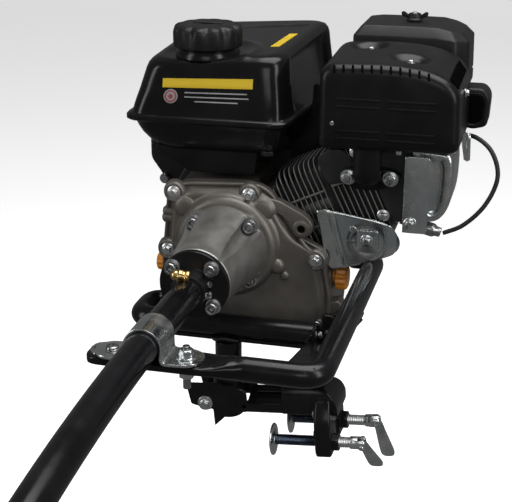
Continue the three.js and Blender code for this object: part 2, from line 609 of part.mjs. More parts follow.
function makeClampScrew(name, side, padFace, handleTurn) {
  const start = padFace + 5;
  const end = padFace + SCREW.length;
  const fork = barU(7.5, end - 10, end + 4, side, 12);
  const slot = block(end - 5, end + 10, side * SCREW.y - 2.3, side * SCREW.y + 2.3, -60, -20);
  const turned = (shape) => shape.translate(0, -side * SCREW.y, -SCREW.w).rotateX(handleTurn)
    .translate(0, side * SCREW.y, SCREW.w);
  const screw = cut(join(barU(SCREW.r, start + GAP, end - 8, side), fork), slot);
  add(`clamp_screw_${name}`, turned(toGeometry(screw)), zinc, bracket);
  const pad = join(barU(SCREW.pad, padFace, padFace + 3, side, 24),
    barU(10, padFace + 2, start, side, 16));
  add(`clamp_pad_${name}`, pad, zinc, bracket);
  const bar = slab([[end - 4, -5], [end + 5, -5], [end + 19, -HANDLE + 4], [end + 17, -HANDLE],
    [end + 6, -HANDLE], [end - 3, -8]], -2, 2).translate(0, side * SCREW.y, SCREW.w + 4);
  add(`clamp_handle_${name}`, turned(bar), zinc, bracket);
}

makeCrankcase();
makeCover();
makeCylinder();
makeValveCover();
makePistonAndCrank();
makeBlower();
makeRecoil();
makeTank();
makeCap();
makeIntake();
makeExhaust();
makeSheetMetal();
makePlug();
makeControls();
makeBell();
makeShaftLine();
makeTail();
makeFrame();
makeStrap();
makeSwivel();
makeBracket();
makeClampScrew('near', -1, NEAR_PAD, 0.5);
makeClampScrew('far', 1, FAR_PAD, 0);

// the seat's place in the motor's own layout, which becomes the origin
const seat = new THREE.Vector3(SEAT.u, 0, SEAT.w);
seat.applyAxisAngle(new THREE.Vector3(0, 1, 0), BRACKET_LEAN);
motor.position.set(-PIN.x - seat.x, -PIN.y, -PIN.z - seat.z);
const part = new THREE.Group();
part.add(motor);

export default part;
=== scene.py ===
# Long-tail outboard motor: engine, frame, shaft line and transom bracket.
import bpy
import json
import numpy as np
from math import pi, sin, cos, radians
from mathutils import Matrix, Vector

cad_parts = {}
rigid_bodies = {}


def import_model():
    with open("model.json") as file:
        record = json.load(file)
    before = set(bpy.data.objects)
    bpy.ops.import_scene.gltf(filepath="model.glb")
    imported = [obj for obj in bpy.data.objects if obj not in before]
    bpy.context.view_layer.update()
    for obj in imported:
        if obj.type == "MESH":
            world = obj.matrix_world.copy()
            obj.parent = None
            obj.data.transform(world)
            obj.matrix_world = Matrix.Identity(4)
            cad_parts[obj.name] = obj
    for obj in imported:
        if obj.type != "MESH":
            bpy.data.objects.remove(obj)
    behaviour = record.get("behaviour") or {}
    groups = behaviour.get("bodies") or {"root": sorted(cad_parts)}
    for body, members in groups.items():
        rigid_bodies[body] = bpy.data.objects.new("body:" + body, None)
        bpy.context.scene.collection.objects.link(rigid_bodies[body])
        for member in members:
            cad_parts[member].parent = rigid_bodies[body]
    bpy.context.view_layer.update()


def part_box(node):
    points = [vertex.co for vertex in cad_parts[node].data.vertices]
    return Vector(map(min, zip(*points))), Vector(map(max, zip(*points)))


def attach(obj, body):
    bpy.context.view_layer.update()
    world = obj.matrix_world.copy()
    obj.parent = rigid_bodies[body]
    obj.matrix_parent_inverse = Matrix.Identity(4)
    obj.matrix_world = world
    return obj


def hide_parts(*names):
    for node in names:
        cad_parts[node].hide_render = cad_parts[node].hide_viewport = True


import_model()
mm = 0.001


def middle(node):
    lo, hi = (np.array(corner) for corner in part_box(node))
    return (lo + hi) / 2


# ---- where things are: crank axis, bracket pin and the tube's far end, in metres
bellLow, bellHigh = (np.array(corner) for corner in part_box("bell_housing"))
crankAt = np.array([(bellLow[0] + bellHigh[0]) / 2, bellHigh[1] + 0.3 * mm, (bellLow[2] + bellHigh[2])
                    / 2])
pinAt = middle("tilt_bolt")
bracketLean = radians(-5)
cylinderLean = radians(25)
tubeRun = {"radius": 16, "start": -119, "straight": 143, "bend": 1900, "angle": radians(16), "tail": 570}


def tubeLine(distance):  # straight, then a wide arc downwards, then straight again
    arc = tubeRun["bend"] * tubeRun["angle"]
    bent = np.clip(distance - tubeRun["straight"], 0, arc)
    after = np.clip(distance - tubeRun["straight"] - arc, 0, None)
    turn = bent / tubeRun["bend"]
    along = np.minimum(distance,
                       tubeRun["straight"]) + tubeRun["bend"] * np.sin(turn) + after * np.cos(turn)
    drop = tubeRun["bend"] * (1 - np.cos(turn)) + after * np.sin(turn)
    return np.stack([0 * along, tubeRun["start"] - along, -drop], -1)


tubeLength = tubeRun["straight"] + tubeRun["bend"] * tubeRun["angle"] + tubeRun["tail"]
tubeEnd = tubeLine(np.array([tubeLength]))[0]


def turnAboutX(angle):
    return np.array([[1, 0, 0], [0, cos(angle), -sin(angle)], [0, sin(angle), cos(angle)]])


def turnAboutY(angle):
    return np.array([[cos(angle), 0, sin(angle)], [0, 1, 0], [-sin(angle), 0, cos(angle)]])


def engineSpace(p):  # millimetres about the crank axis to metres in the shared frame
    return crankAt + p * mm


def cylinderSpace(p):  # the same, laid out along the leaning cylinder
    return engineSpace(p @ turnAboutY(-cylinderLean).T)


def bracketSpace(p):  # millimetres about the tilt pin
    return pinAt + (p @ turnAboutY(bracketLean).T) * mm


def tailSpace(p):  # millimetres about the far end of the tube
    return engineSpace(p @ turnAboutX(tubeRun["angle"]).T + tubeEnd)


# ---- surfaces: a skin is (points, list of face arrays, finish, edge mask)
def gridSkin(points, around=True, loop=False, capStart=True, capEnd=True, finish=None, edge=None):
    # rows run along the surface, columns run round it; ends close on their middle point
    points = np.asarray(points, float)
    rows, columns = points.shape[:2]
    index = np.arange(rows * columns).reshape(rows, columns)
    r, c = np.meshgrid(np.arange(rows if loop else rows - 1), np.arange(columns if around else columns
            - 1), indexing="ij")
    r2, c2 = (r + 1) % rows, (c + 1) % columns
    faces = [np.stack([index[r, c], index[r, c2], index[r2, c2], index[r2, c]], -1).reshape(-1, 4)]
    verts = [points.reshape(-1, 3)]
    mask = [np.zeros(rows * columns) if edge is None else np.broadcast_to(edge,
            (rows, columns)).reshape(-1)]
    count = rows * columns
    for wanted, row, flip in ((capStart, 0, True), (capEnd, rows - 1, False)):
        if wanted and not loop:
            verts.append(points[row].mean(0)[None])
            mask.append(np.zeros(1))
            first, second = index[row], np.roll(index[row], -1)
            if flip:
                first, second = second, first
            faces.append(np.stack([first, second, np.full(columns, count)], -1))
            count += 1
    return np.concatenate(verts), faces, finish, np.concatenate(mask)


def moved(skins, matrix=None, at=(0, 0, 0)):
    turn = np.eye(3) if matrix is None else matrix
    return [(s[0] @ turn.T + np.array(at, float), s[1], s[2], s[3]) for s in skins]


def aimed(skins, direction, at, roll=0.0):  # carries a shape built along +Z to a direction and a place
    z = np.array(direction, float) / np.linalg.norm(direction)
    side = np.array([0, 0, 1.0]) if abs(z[2]) < 0.9 else np.array([0, 1.0, 0])
    x = np.cross(side, z)
    x /= np.linalg.norm(x)
    y = np.cross(z, x)
    spin = np.array([[cos(roll), -sin(roll), 0], [sin(roll), cos(roll), 0], [0, 0, 1]])
    return moved(skins, np.stack([x, y, z], 1) @ spin, at)


def roundedLoop(corners, radius, steps=6):  # each corner becomes a quadratic bend
    c = np.array(corners, float)
    r = np.broadcast_to(np.asarray(radius, float), len(c))
    before, after = np.roll(c, 1, 0) - c, np.roll(c, -1, 0) - c
    lb, la = np.linalg.norm(before, axis=1), np.linalg.norm(after, axis=1)
    a = c + before / lb[:, None] * np.minimum(r, lb * 0.48)[:, None]
    b = c + after / la[:, None] * np.minimum(r, la * 0.48)[:, None]
    t = np.linspace(0, 1, steps)[None, :, None]
    return ((1 - t) ** 2 * a[:, None] + 2 * t * (1 - t) * c[:, None] + t ** 2 * b[:, None]).reshape(-1, 2)


def evenly(loop, count):  # the same closed outline with points at equal distances
    closed = np.vstack([loop, loop[:1]])
    run = np.concatenate([[0], np.cumsum(np.linalg.norm(np.diff(closed, axis=0), axis=1))])
    want = np.linspace(0, run[-1], count, endpoint=False)
    return np.stack([np.interp(want, run, closed[:, k]) for k in range(closed.shape[1])], -1)


def along(path, spacing):  # an open path with points at equal distances
    run = np.concatenate([[0], np.cumsum(np.linalg.norm(np.diff(path, axis=0), axis=1))])
    want = np.linspace(0, run[-1], max(3, int(run[-1] / spacing)))
    return np.stack([np.interp(want, run, path[:, k]) for k in range(3)], -1)


def routed(points, radius, spacing=4):  # straight runs joined by round bends
    p = np.array(points, float)
    path = [p[:1]]
    t = np.linspace(0, 1, 12)[:, None]
    for i in range(1, len(p) - 1):
        a = p[i] + (p[i - 1] - p[i]) / np.linalg.norm(p[i - 1] - p[i]) * radius
        b = p[i] + (p[i + 1] - p[i]) / np.linalg.norm(p[i + 1] - p[i]) * radius
        path.append((1 - t) ** 2 * a + 2 * t * (1 - t) * p[i] + t ** 2 * b)
    path.append(p[-1:])
    return along(np.concatenate(path), spacing)


def box2(x0, x1, y0, y1):
    return [[x0, y0], [x1, y0], [x1, y1], [x0, y1]]


def plate(loop, profile, plane="xz", finish=None, edge=None, centre=None):
    # an outline carried through (inset, height) pairs; each inset draws it in towards its middle
    loop = np.asarray(loop, float)
    lo, hi = loop.min(0), loop.max(0)
    mid = (lo + hi) / 2 if centre is None else np.array(centre, float)
    half = (hi - lo) / 2
    profile = np.array(profile, float)
    scale = 1 - profile[:, 0][:, None, None] / half[None, None]
    flat = mid + (loop - mid)[None] * scale
    height = np.broadcast_to(profile[:, 1][:, None], flat.shape[:2])
    a, b = flat[..., 0], flat[..., 1]
    order = {"xz": (a, height, b), "xy": (a, b, height), "yz": (height, a, b)}[plane]
    return gridSkin(np.stack(order, -1), finish=finish, edge=None if edge is None else np.array(edge)[:,
            None])


def slab(corners, radius, steps, count, *rest, **more):
    # a plate from corners, with even spacing round it
    return plate(evenly(roundedLoop(corners, radius, steps), count), *rest, **more)


def soft(depth0, depth1, bevel=1.0, inset=0.0):  # profile of a plate with rounded rims
    b = bevel
    side = 1 if depth1 > depth0 else -1
    q = [(1.0, 0.0), (0.62, 0.08), (0.3, 0.3), (0.08, 0.62), (0.0, 1.0)]
    start = [(inset + b * i, depth0 + side * b * h) for i, h in q]
    end = [(inset + b * i, depth1 - side * b * h) for i, h in reversed(q)]
    return start + end


def lathe(profile, count=48, finish=None, edge=None):  # (radius, height) pairs spun about +Z
    profile = np.array(profile, float)
    turn = np.linspace(0, 2 * pi, count, endpoint=False)
    r, h = np.maximum(profile[:, 0], 0.01)[:, None], profile[:, 1][:, None]
    points = np.stack([r * np.cos(turn), r * np.sin(turn), h + 0 * turn], -1)
    return gridSkin(points, finish=finish, edge=None if edge is None else np.array(edge)[:, None])


def rod(radius, low, high, bevel=0.8, count=40, finish=None):
    return lathe([(radius * 0.5, low), (radius - bevel, low), (radius - bevel * 0.3, low + bevel * 0.3),
                  (radius, low + bevel),
                  (radius, high - bevel), (radius - bevel * 0.3, high - bevel * 0.3),
                  (radius - bevel, high), (radius * 0.5, high)],
                 count, finish)


def sweep(path, section, up=(0, 0, 1), loop=False, finish=None, caps=True):
    # a closed section carried along a path; the section may change from point to point
    path = np.asarray(path, float)
    tangent = np.gradient(path, axis=0)
    tangent /= np.linalg.norm(tangent, axis=1)[:, None]
    up = np.broadcast_to(np.array(up, float), path.shape)
    side = np.cross(tangent, up)
    side /= np.linalg.norm(side, axis=1)[:, None]
    rise = np.cross(side, tangent)
    section = np.broadcast_to(section, (len(path),) + np.shape(section)[-2:])
    points = path[:, None] + section[..., 0, None] * side[:, None] + section[..., 1, None] * rise[:, None]
    return gridSkin(points, loop=loop, capStart=caps, capEnd=caps, finish=finish)


def circle(radius, count=32):
    turn = np.linspace(0, 2 * pi, count, endpoint=False)
    return np.stack([radius * np.cos(turn), radius * np.sin(turn)], -1)


def pipeSkin(path, radius, count=32, finish=None, up=(0, 0, 1), bevel=1.0):  # a round bar with eased ends
    path = np.asarray(path, float)
    run = np.concatenate([[0], np.cumsum(np.linalg.norm(np.diff(path, axis=0), axis=1))])
    ends = np.minimum(run, run[-1] - run)
    radii = radius - bevel * np.clip(1 - ends / max(bevel, 1e-6), 0, 1) ** 2
    return sweep(path, circle(1.0, count)[None] * radii[:, None, None], up, finish=finish)


def hexHead(across, low, high, finish=None):  # six flats cut by a cone at the top
    turn = np.linspace(0, 2 * pi, 48, endpoint=False)
    flats = across / 2 / np.cos((turn + pi / 6) % (pi / 3) - pi / 6)
    rows = []
    for h, cone in ((low, 9), (high - 1.5, 1.12), (high - 0.8, 1.06), (high - 0.2, 0.95), (high, 0.86)):
        rows.append(np.stack([np.minimum(flats, across / 2 * cone) * np.cos(turn),
                              np.minimum(flats, across / 2 * cone) * np.sin(turn), np.full(48, h)], -1))
    rows.append(rows[-1] * np.array([0.4, 0.4, 1]))
    return gridSkin(np.array(rows), finish=finish)


def flangeBolt(size, finish="zincPlate"):  # hexagon on a round flange with a dished top
    return [lathe([(0.5, 0), (size * 0.92, 0), (size * 0.95, 0.8), (size * 0.7, 1.9), (0.5, 2.0)], 32,
                  finish),
            hexHead(size * 1.12, 1.5, size * 0.85, finish)]


def socketScrew(radius, height, finish="steelDark"):  # knurled round head with a hexagon well
    turn = np.linspace(0, 2 * pi, 72, endpoint=False)
    ripple = 1 + 0.018 * np.sign(np.sin(turn * 36))
    flats = radius * 0.52 / np.cos((turn + pi / 6) % (pi / 3) - pi / 6)
    steps = [(radius, 0, 1), (radius, height * 0.82, 1), (radius * 0.97, height * 0.93, 0),
             (radius * 0.88, height, 0)]
    rows = [np.stack([r * np.where(k, ripple, 1) * np.cos(turn), r * np.where(k, ripple, 1)
                      * np.sin(turn), np.full(72, h)], -1)
            for r, h, k in steps]
    for scale, h in ((1.06, height), (1.0, height - 0.3), (1.0, height * 0.35)):
        rows.append(np.stack([flats * scale * np.cos(turn), flats * scale * np.sin(turn), np.full(72, h)],
                -1))
    return [gridSkin(np.array(rows), finish=finish)]


def weldBead(path, width=3.2, finish="glossEnamel"):  # overlapping ripples along a seam
    path = along(np.asarray(path, float), 0.8)
    run = np.linspace(0, len(path) * 0.8, len(path))
    girth = width * (1 + 0.16 * np.sin(run * 2 * pi / 3.4) + 0.06 * np.sin(run * 1.3))
    return sweep(path, circle(1.0, 10)[None] * girth[:, None, None], (0.3, 0.5, 0.8), finish=finish)


# ---- materials
def socketGroup(name, inputs, outputs):
    tree = bpy.data.node_groups.new(name, "ShaderNodeTree")
    for label, kind, value in inputs:
        entry = tree.interface.new_socket(label, in_out="INPUT", socket_type=kind)
        if value is not None:
            entry.default_value = value
    for label, kind in outputs:
        tree.interface.new_socket(label, in_out="OUTPUT", socket_type=kind)
    return tree, tree.nodes.new("NodeGroupInput"), tree.nodes.new("NodeGroupOutput")


def noise(tree, vector, scale, detail=4.0, rough=0.55):
    node = tree.nodes.new("ShaderNodeTexNoise")
    node.inputs["Detail"].default_value = detail
    node.inputs["Roughness"].default_value = rough
    node.inputs["Scale"].default_value = scale
    tree.links.new(vector, node.inputs["Vector"])
    return node.outputs["Fac"]


def ranged(tree, value, low, high, outLow=0.0, outHigh=1.0):
    node = tree.nodes.new("ShaderNodeMapRange")
    for slot, number in zip(("From Min", "From Max", "To Min", "To Max"), (low, high, outLow, outHigh)):
        node.inputs[slot].default_value = number
    tree.links.new(value, node.inputs["Value"])
    return node.outputs["Result"]


def maths(tree, kind, a, b=None):
    node = tree.nodes.new("ShaderNodeMath")
    node.operation = kind
    for slot, value in enumerate((a, b)):
        if value is None:
            continue
        if isinstance(value, (int, float)):
            node.inputs[slot].default_value = value
        else:
            tree.links.new(value, node.inputs[slot])
    return node.outputs[0]


def makeMottle():  # soft clouds, fine grain, drawn scratches and a shared bump height
    tree, start, end = socketGroup("surfaceMottle", [], [("Cloud", "NodeSocketFloat"),
            ("Grain", "NodeSocketFloat"),
                                                         ("Scratch", "NodeSocketFloat"),
                                                                 ("Dust", "NodeSocketFloat")])
    place = tree.nodes.new("ShaderNodeTexCoord").outputs["Object"]
    cloud = ranged(tree, noise(tree, place, 28, 5, 0.6), 0.35, 0.65)
    grain = noise(tree, place, 1400, 3, 0.6)
    stretch = tree.nodes.new("ShaderNodeMapping")
    stretch.inputs["Scale"].default_value = (60, 60, 1600)
    stretch.inputs["Rotation"].default_value = (0.5, 0.3, 0.7)
    tree.links.new(place, stretch.inputs["Vector"])
    scratch = ranged(tree, noise(tree, stretch.outputs["Vector"], 1.0, 3, 0.7), 0.62, 0.74)
    speck = ranged(tree, noise(tree, place, 420, 6, 0.75), 0.60, 0.72)
    up = tree.nodes.new("ShaderNodeNewGeometry")
    split = tree.nodes.new("ShaderNodeSeparateXYZ")
    tree.links.new(up.outputs["Normal"], split.inputs[0])
    settled = ranged(tree, split.outputs["Z"], 0.2, 0.95)
    dust = maths(tree, "MULTIPLY", speck, settled)
    for label, value in (("Cloud", cloud), ("Grain", grain), ("Scratch", scratch), ("Dust", dust)):
        tree.links.new(value, end.inputs[label])
    return tree


mottle = makeMottle()


def makeFinish(name, base, tint, rough, metal=0.0, grain=0.0, coat=0.0, scratch=0.0, dust=0.0,
               rimHighlight=None, waves=0.0, spec=0.5):
    # base and tint mix over the clouds; rough is a (low, high) pair; the rim colour is a painted
    # highlight laid where the edge mask marks rims
    material = bpy.data.materials.new(name)
    material.use_nodes = True
    tree = material.node_tree
    surface = tree.nodes["Principled BSDF"]
    group = tree.nodes.new("ShaderNodeGroup")
    group.node_tree = mottle
    colour = tree.nodes.new("ShaderNodeMix")
    colour.data_type = "RGBA"
    colour.inputs[6].default_value = (*base, 1)
    colour.inputs[7].default_value = (*tint, 1)
    tree.links.new(group.outputs["Cloud"], colour.inputs[0])
    last = colour.outputs[2]

    def over(last, mask, paint):
        mix = tree.nodes.new("ShaderNodeMix")
        mix.data_type = "RGBA"
        tree.links.new(mask, mix.inputs[0])
        tree.links.new(last, mix.inputs[6])
        mix.inputs[7].default_value = (*paint, 1)
        return mix.outputs[2]

    roughness = ranged(tree, group.outputs["Cloud"], 0, 1, *rough)
    if scratch:
        last = over(last, maths(tree, "MULTIPLY", group.outputs["Scratch"], scratch),
                    tuple(min(1, c * 1.6 + 0.05) for c in base))
        roughness = maths(tree, "ADD", roughness, maths(tree, "MULTIPLY", group.outputs["Scratch"], 0.12))
    if dust:
        last = over(last, maths(tree, "MULTIPLY", group.outputs["Dust"], dust), (0.30, 0.29, 0.27))
        roughness = maths(tree, "ADD", roughness, maths(tree, "MULTIPLY", group.outputs["Dust"],
                0.25 * dust))
    if rimHighlight:
        # painted highlight: the rims the edge mask marks get a lighter colour and more metal
        mark = tree.nodes.new("ShaderNodeAttribute")
        mark.attribute_name = "edge"
        highlightMask = ranged(tree, mark.outputs["Fac"], 0.35, 0.65)
        last = over(last, highlightMask, rimHighlight)
        shine = ranged(tree, mark.outputs["Fac"], 0.35, 0.65, metal, 0.85)
        tree.links.new(shine, surface.inputs["Metallic"])
    else:
        surface.inputs["Metallic"].default_value = metal
    tree.links.new(last, surface.inputs["Base Color"])
    tree.links.new(roughness, surface.inputs["Roughness"])
    surface.inputs["Coat Weight"].default_value = coat
    surface.inputs["Coat Roughness"].default_value = 0.06
    surface.inputs["Specular IOR Level"].default_value = spec
    if grain or waves:
        bump = tree.nodes.new("ShaderNodeBump")
        bump.inputs["Distance"].default_value = 0.0004
        bump.inputs["Strength"].default_value = max(grain, 0.05)
        height = group.outputs["Grain"]
        if waves:
            slow = noise(tree, tree.nodes.new("ShaderNodeTexCoord").outputs["Object"], 90, 2, 0.5)
            height = maths(tree, "ADD", height, maths(tree, "MULTIPLY", slow, waves))
        tree.links.new(height, bump.inputs["Height"])
        tree.links.new(bump.outputs["Normal"], surface.inputs["Normal"])
    return material


finishTable = {  # base colour, second colour, roughness range, then the rest
    "glossEnamel": ((0.004, 0.004, 0.0045), (0.007, 0.007, 0.008), (0.14, 0.25),
                    dict(grain=0.04, dust=0.04, waves=0.4, spec=0.30)),
    "tankEnamel": ((0.004, 0.004, 0.0045), (0.006, 0.006, 0.0065), (0.15, 0.24),
                   dict(grain=0.03, dust=0.02, waves=0.3, spec=0.28)),
    "satinPaint": ((0.004, 0.004, 0.0045), (0.006, 0.006, 0.0065), (0.28, 0.38),
                   dict(grain=0.10, dust=0.04, spec=0.27)),
    "grainedPlastic": ((0.006, 0.006, 0.0065), (0.009, 0.009, 0.0095), (0.36, 0.48),
                       dict(grain=0.25, dust=0.03, spec=0.28)),
    "castPaint": ((0.130, 0.119, 0.107), (0.168, 0.155, 0.141), (0.34, 0.46), dict(metal=0.55, grain=0.22,
            dust=0.06, waves=0.25)),
    "machined": ((0.25, 0.245, 0.232), (0.32, 0.312, 0.298), (0.36, 0.48), dict(metal=0.8, grain=0.16,
            scratch=0.10)),
    # the fin rims carry a painted highlight colour
    "finBlack": ((0.012, 0.012, 0.013), (0.022, 0.022, 0.022), (0.40, 0.6), dict(metal=0.1, grain=0.25,
            rimHighlight=(0.22, 0.215, 0.205))),
    "zincPlate": ((0.60, 0.62, 0.63), (0.72, 0.73, 0.72), (0.20, 0.32), dict(metal=1.0, grain=0.05,
            scratch=0.08)),
    "zincSheet": ((0.52, 0.58, 0.60), (0.74, 0.74, 0.70), (0.14, 0.26), dict(metal=1.0, grain=0.03,
            scratch=0.05, waves=0.15)),
    "steelDark": ((0.30, 0.30, 0.31), (0.42, 0.42, 0.43), (0.22, 0.38), dict(metal=1.0, grain=0.10,
            scratch=0.2)),
    "bluedSteel": ((0.055, 0.075, 0.115), (0.10, 0.12, 0.15), (0.22, 0.34), dict(metal=1.0, grain=0.05,
            scratch=0.2)),
    "polishedSteel": ((0.62, 0.62, 0.62), (0.70, 0.70, 0.69), (0.14, 0.26), dict(metal=1.0, grain=0.04,
            scratch=0.3)),
    "brassTurned": ((0.50, 0.33, 0.12), (0.66, 0.46, 0.20), (0.16, 0.30), dict(metal=1.0, grain=0.05,
            scratch=0.2)),
    "amberPlastic": ((0.78, 0.27, 0.02), (0.85, 0.34, 0.035), (0.28, 0.42), dict(grain=0.08, coat=0.25)),
    "rubberBlack": ((0.012, 0.012, 0.012), (0.020, 0.020, 0.020), (0.55, 0.70),
                    dict(grain=0.25, dust=0.15)),
    # near-black for slots, holes and mouths: painted shade standing in for the dark inside of openings
    "voidBlack": ((0.001, 0.001, 0.001), (0.002, 0.002, 0.002), (0.9, 1.0), dict(spec=0.05)),
    "labelYellow": ((0.56, 0.385, 0.015), (0.62, 0.43, 0.02), (0.35, 0.45), dict(grain=0.03)),
    "labelGrey": ((0.20, 0.20, 0.205), (0.26, 0.26, 0.265), (0.4, 0.5), dict(grain=0.03)),
    "labelRed": ((0.22, 0.02, 0.02), (0.26, 0.03, 0.03), (0.4, 0.5), dict(grain=0.03)),
}
finishes = {name: makeFinish(name, base, tint, rough, **more) for name,
            (base, tint, rough, more) in finishTable.items()}


def makePiece(name, skins, body, stands=(), space=engineSpace, finish="satinPaint", sharp=38):
    # joins the skins of one piece, points each outwards, and lets it ride on its body
    verts, faces, marks, kinds, start = [], [], [], [], 0
    names = []
    for points, parts, own, mask in skins:
        placed = space(points)
        own = own or finish
        if own not in names:
            names.append(own)
        centre = placed.mean(0)
        volume = 0.0
        for part in parts:
            corners = placed[part] - centre
            for k in range(1, part.shape[1] - 1):
                volume += np.einsum("ij,ij->i", corners[:, 0], np.cross(corners[:, k],
                        corners[:, k + 1])).sum()
        for part in parts:
            part = part if volume > 0 else part[:, ::-1]
            faces.extend((part + start).tolist())
            kinds.append(np.full(len(part), names.index(own)))
        verts.append(placed)
        marks.append(mask)
        start += len(points)
    mesh = bpy.data.meshes.new(name)
    mesh.from_pydata(np.concatenate(verts).tolist(), [], faces)
    mesh.polygons.foreach_set("material_index", np.concatenate(kinds).astype(np.int32))
    mesh.attributes.new("edge", "FLOAT", "POINT").data.foreach_set("value",
        np.concatenate(marks).astype(np.float32))
    mesh.polygons.foreach_set("use_smooth", np.ones(len(mesh.polygons), bool))
    mesh.set_sharp_from_angle(angle=radians(sharp))
    mesh.update()
    piece = bpy.data.objects.new(name, mesh)
    bpy.context.scene.collection.objects.link(piece)
    for own in names:
        mesh.materials.append(finishes[own])
    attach(piece, body)
    if stands:
        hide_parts(*stands)
    return piece


# ---- camera first: the lens and place that give the picture's framing
camera = bpy.data.objects.new("camera", bpy.data.cameras.new("camera"))
camera.data.lens = 85.6
camera.data.sensor_width = 36
camera.data.clip_end = 20
camera.location = crankAt + np.array([361.8, -1252.5, 475.3]) * mm
camera.rotation_euler = Vector((-0.23593, 0.90835, -0.34530)).to_track_quat("-Z", "Y").to_euler()
bpy.context.scene.collection.objects.link(camera)
bpy.context.scene.camera = camera

# ---- plain pale floor, curving up behind, and soft studio light
studio = {"floor": -0.42, "near": -5.0, "far": 5.0, "rise": 4.0}


def makeBackdrop():  # a flat floor, a quarter circle, then an upright wall
    turn = np.linspace(0, pi / 2, 16)
    y = np.concatenate([[studio["near"]], studio["far"] + 2 * np.sin(turn), [studio["far"] + 2]])
    z = np.concatenate([[0], 2 - 2 * np.cos(turn), [studio["rise"] + 4]]) + studio["floor"]
    x = np.linspace(-9, 9, 9)
    points = np.stack([np.broadcast_to(x, (len(y), 9)), np.repeat(y[:, None], 9, 1),
                       np.repeat(z[:, None], 9, 1)], -1)
    verts, faces, _, _ = gridSkin(points, around=False, capStart=False, capEnd=False)
    mesh = bpy.data.meshes.new("backdrop")
    mesh.from_pydata(verts.tolist(), [], faces[0].tolist())
    mesh.polygons.foreach_set("use_smooth", np.ones(len(mesh.polygons), bool))
    backdrop = bpy.data.objects.new("backdrop", mesh)
    bpy.context.scene.collection.objects.link(backdrop)
    paper = bpy.data.materials.new("palePaper")
    paper.use_nodes = True
    paper.node_tree.nodes["Principled BSDF"].inputs["Base Color"].default_value = (0.90, 0.90, 0.90, 1)
    paper.node_tree.nodes["Principled BSDF"].inputs["Emission Color"].default_value = (1, 1, 1, 1)
    paper.node_tree.nodes["Principled BSDF"].inputs["Emission Strength"].default_value = 0.55
    paper.node_tree.nodes["Principled BSDF"].inputs["Roughness"].default_value = 0.95
    paper.node_tree.nodes["Principled BSDF"].inputs["Specular IOR Level"].default_value = 0.1
    mesh.materials.append(paper)
    backdrop.visible_glossy = False
    backdrop.visible_diffuse = False


def areaLight(name, place, target, size, power, colour=(1, 1, 1)):
    data = bpy.data.lights.new(name, "AREA")
    data.shape = "RECTANGLE"
    data.size, data.size_y = size
    data.energy = power
    data.color = colour
    light = bpy.data.objects.new(name, data)
    light.location = place
    light.rotation_euler = (Vector(target) - Vector(place)).to_track_quat("-Z", "Y").to_euler()
    bpy.context.scene.collection.objects.link(light)


makeBackdrop()
areaLight("overheadSoftbox", (0.35, 0.0, 2.2), (0, 0, 0.1), (1.9, 1.9), 58)
areaLight("leftStrip", (-1.9, -1.3, 0.9), (0, -0.1, 0.2), (0.5, 1.8), 13)
areaLight("rightStrip", (1.9, -1.1, 1.1), (0, -0.1, 0.2), (0.6, 1.8), 20)
areaLight("frontFill", (0.3, -2.6, 1.3), (0, 0, 0.15), (1.2, 0.6), 6)
world = bpy.data.worlds.new("paleStudio")
bpy.context.scene.world = world
world.use_nodes = True
world.node_tree.nodes["Background"].inputs["Color"].default_value = (1, 1, 1, 1)
world.node_tree.nodes["Background"].inputs["Strength"].default_value = 0.13
bpy.context.scene.view_settings.view_transform = "Standard"
print("studio ready")

# ---- fuel tank: two pressed halves rolled together at the seam
tank = {"top": 212.6, "seam": 147, "flare": 0.075, "tiltX": 0.06, "tiltY": 0.045, "fillerX": -35,
        "fillerY": 60,
        "rows": [(-80, 48, 36, 210, 26, 104.4), (-86, 54, 30, 216, 26, 104.9),
                 (-93, 57, 26, 221, 28, 107.5),
                 (-101, 60, 21, 228, 28, 114), (-108, 62, 17, 234, 27, 123), (-112, 63, 15, 237, 26, 131),
                 (-114, 63.5, 14, 238, 25, 136.5), (-115.5, 65, 12.5, 239.5, 25, 138.4),
                 (-120.5, 68, 8.5, 244.5, 23, 139.2),
                 (-122, 69, 7, 246, 22, 140.6), (-122, 69, 7, 246, 22, 144.6), (-120.5, 68, 8.5, 244.5,
                         23, 146.4),
                 (-117.5, 65.5, 11.5, 241, 22, 147.2), (-116, 64, 11.8, 240, 22, 149),
                 (-114.6, 63.8, 12.7, 239.3, 22.5, 155),
                 (-112.5, 63.4, 14, 238.2, 23, 163), (-108.6, 62.4, 16.8, 236.8, 24, 176),
                 (-105, 61, 20, 235.2, 25, 190),
                 (-102, 60, 22.5, 234, 25, 201), (-100, 58.8, 24.4, 232.4, 25, 206),
                 (-97, 56.5, 27, 230, 25, 209.6),
                 (-92, 52.5, 31.5, 226, 24, 211.8), (-86, 47, 37, 220, 22, 212.5)]}


def tankTilt(x, y, z):  # the upper half leans its top a little to the right and back
    share = np.clip((z - tank["seam"]) / 63, 0, 1)
    return z + share * (tank["tiltX"] * x + tank["tiltY"] * (y - 25))


def tankFront(z):  # y of the upper front face at an untilted height
    rows = np.array(tank["rows"][13:20])
    return np.interp(z, rows[:, 5], rows[:, 2])


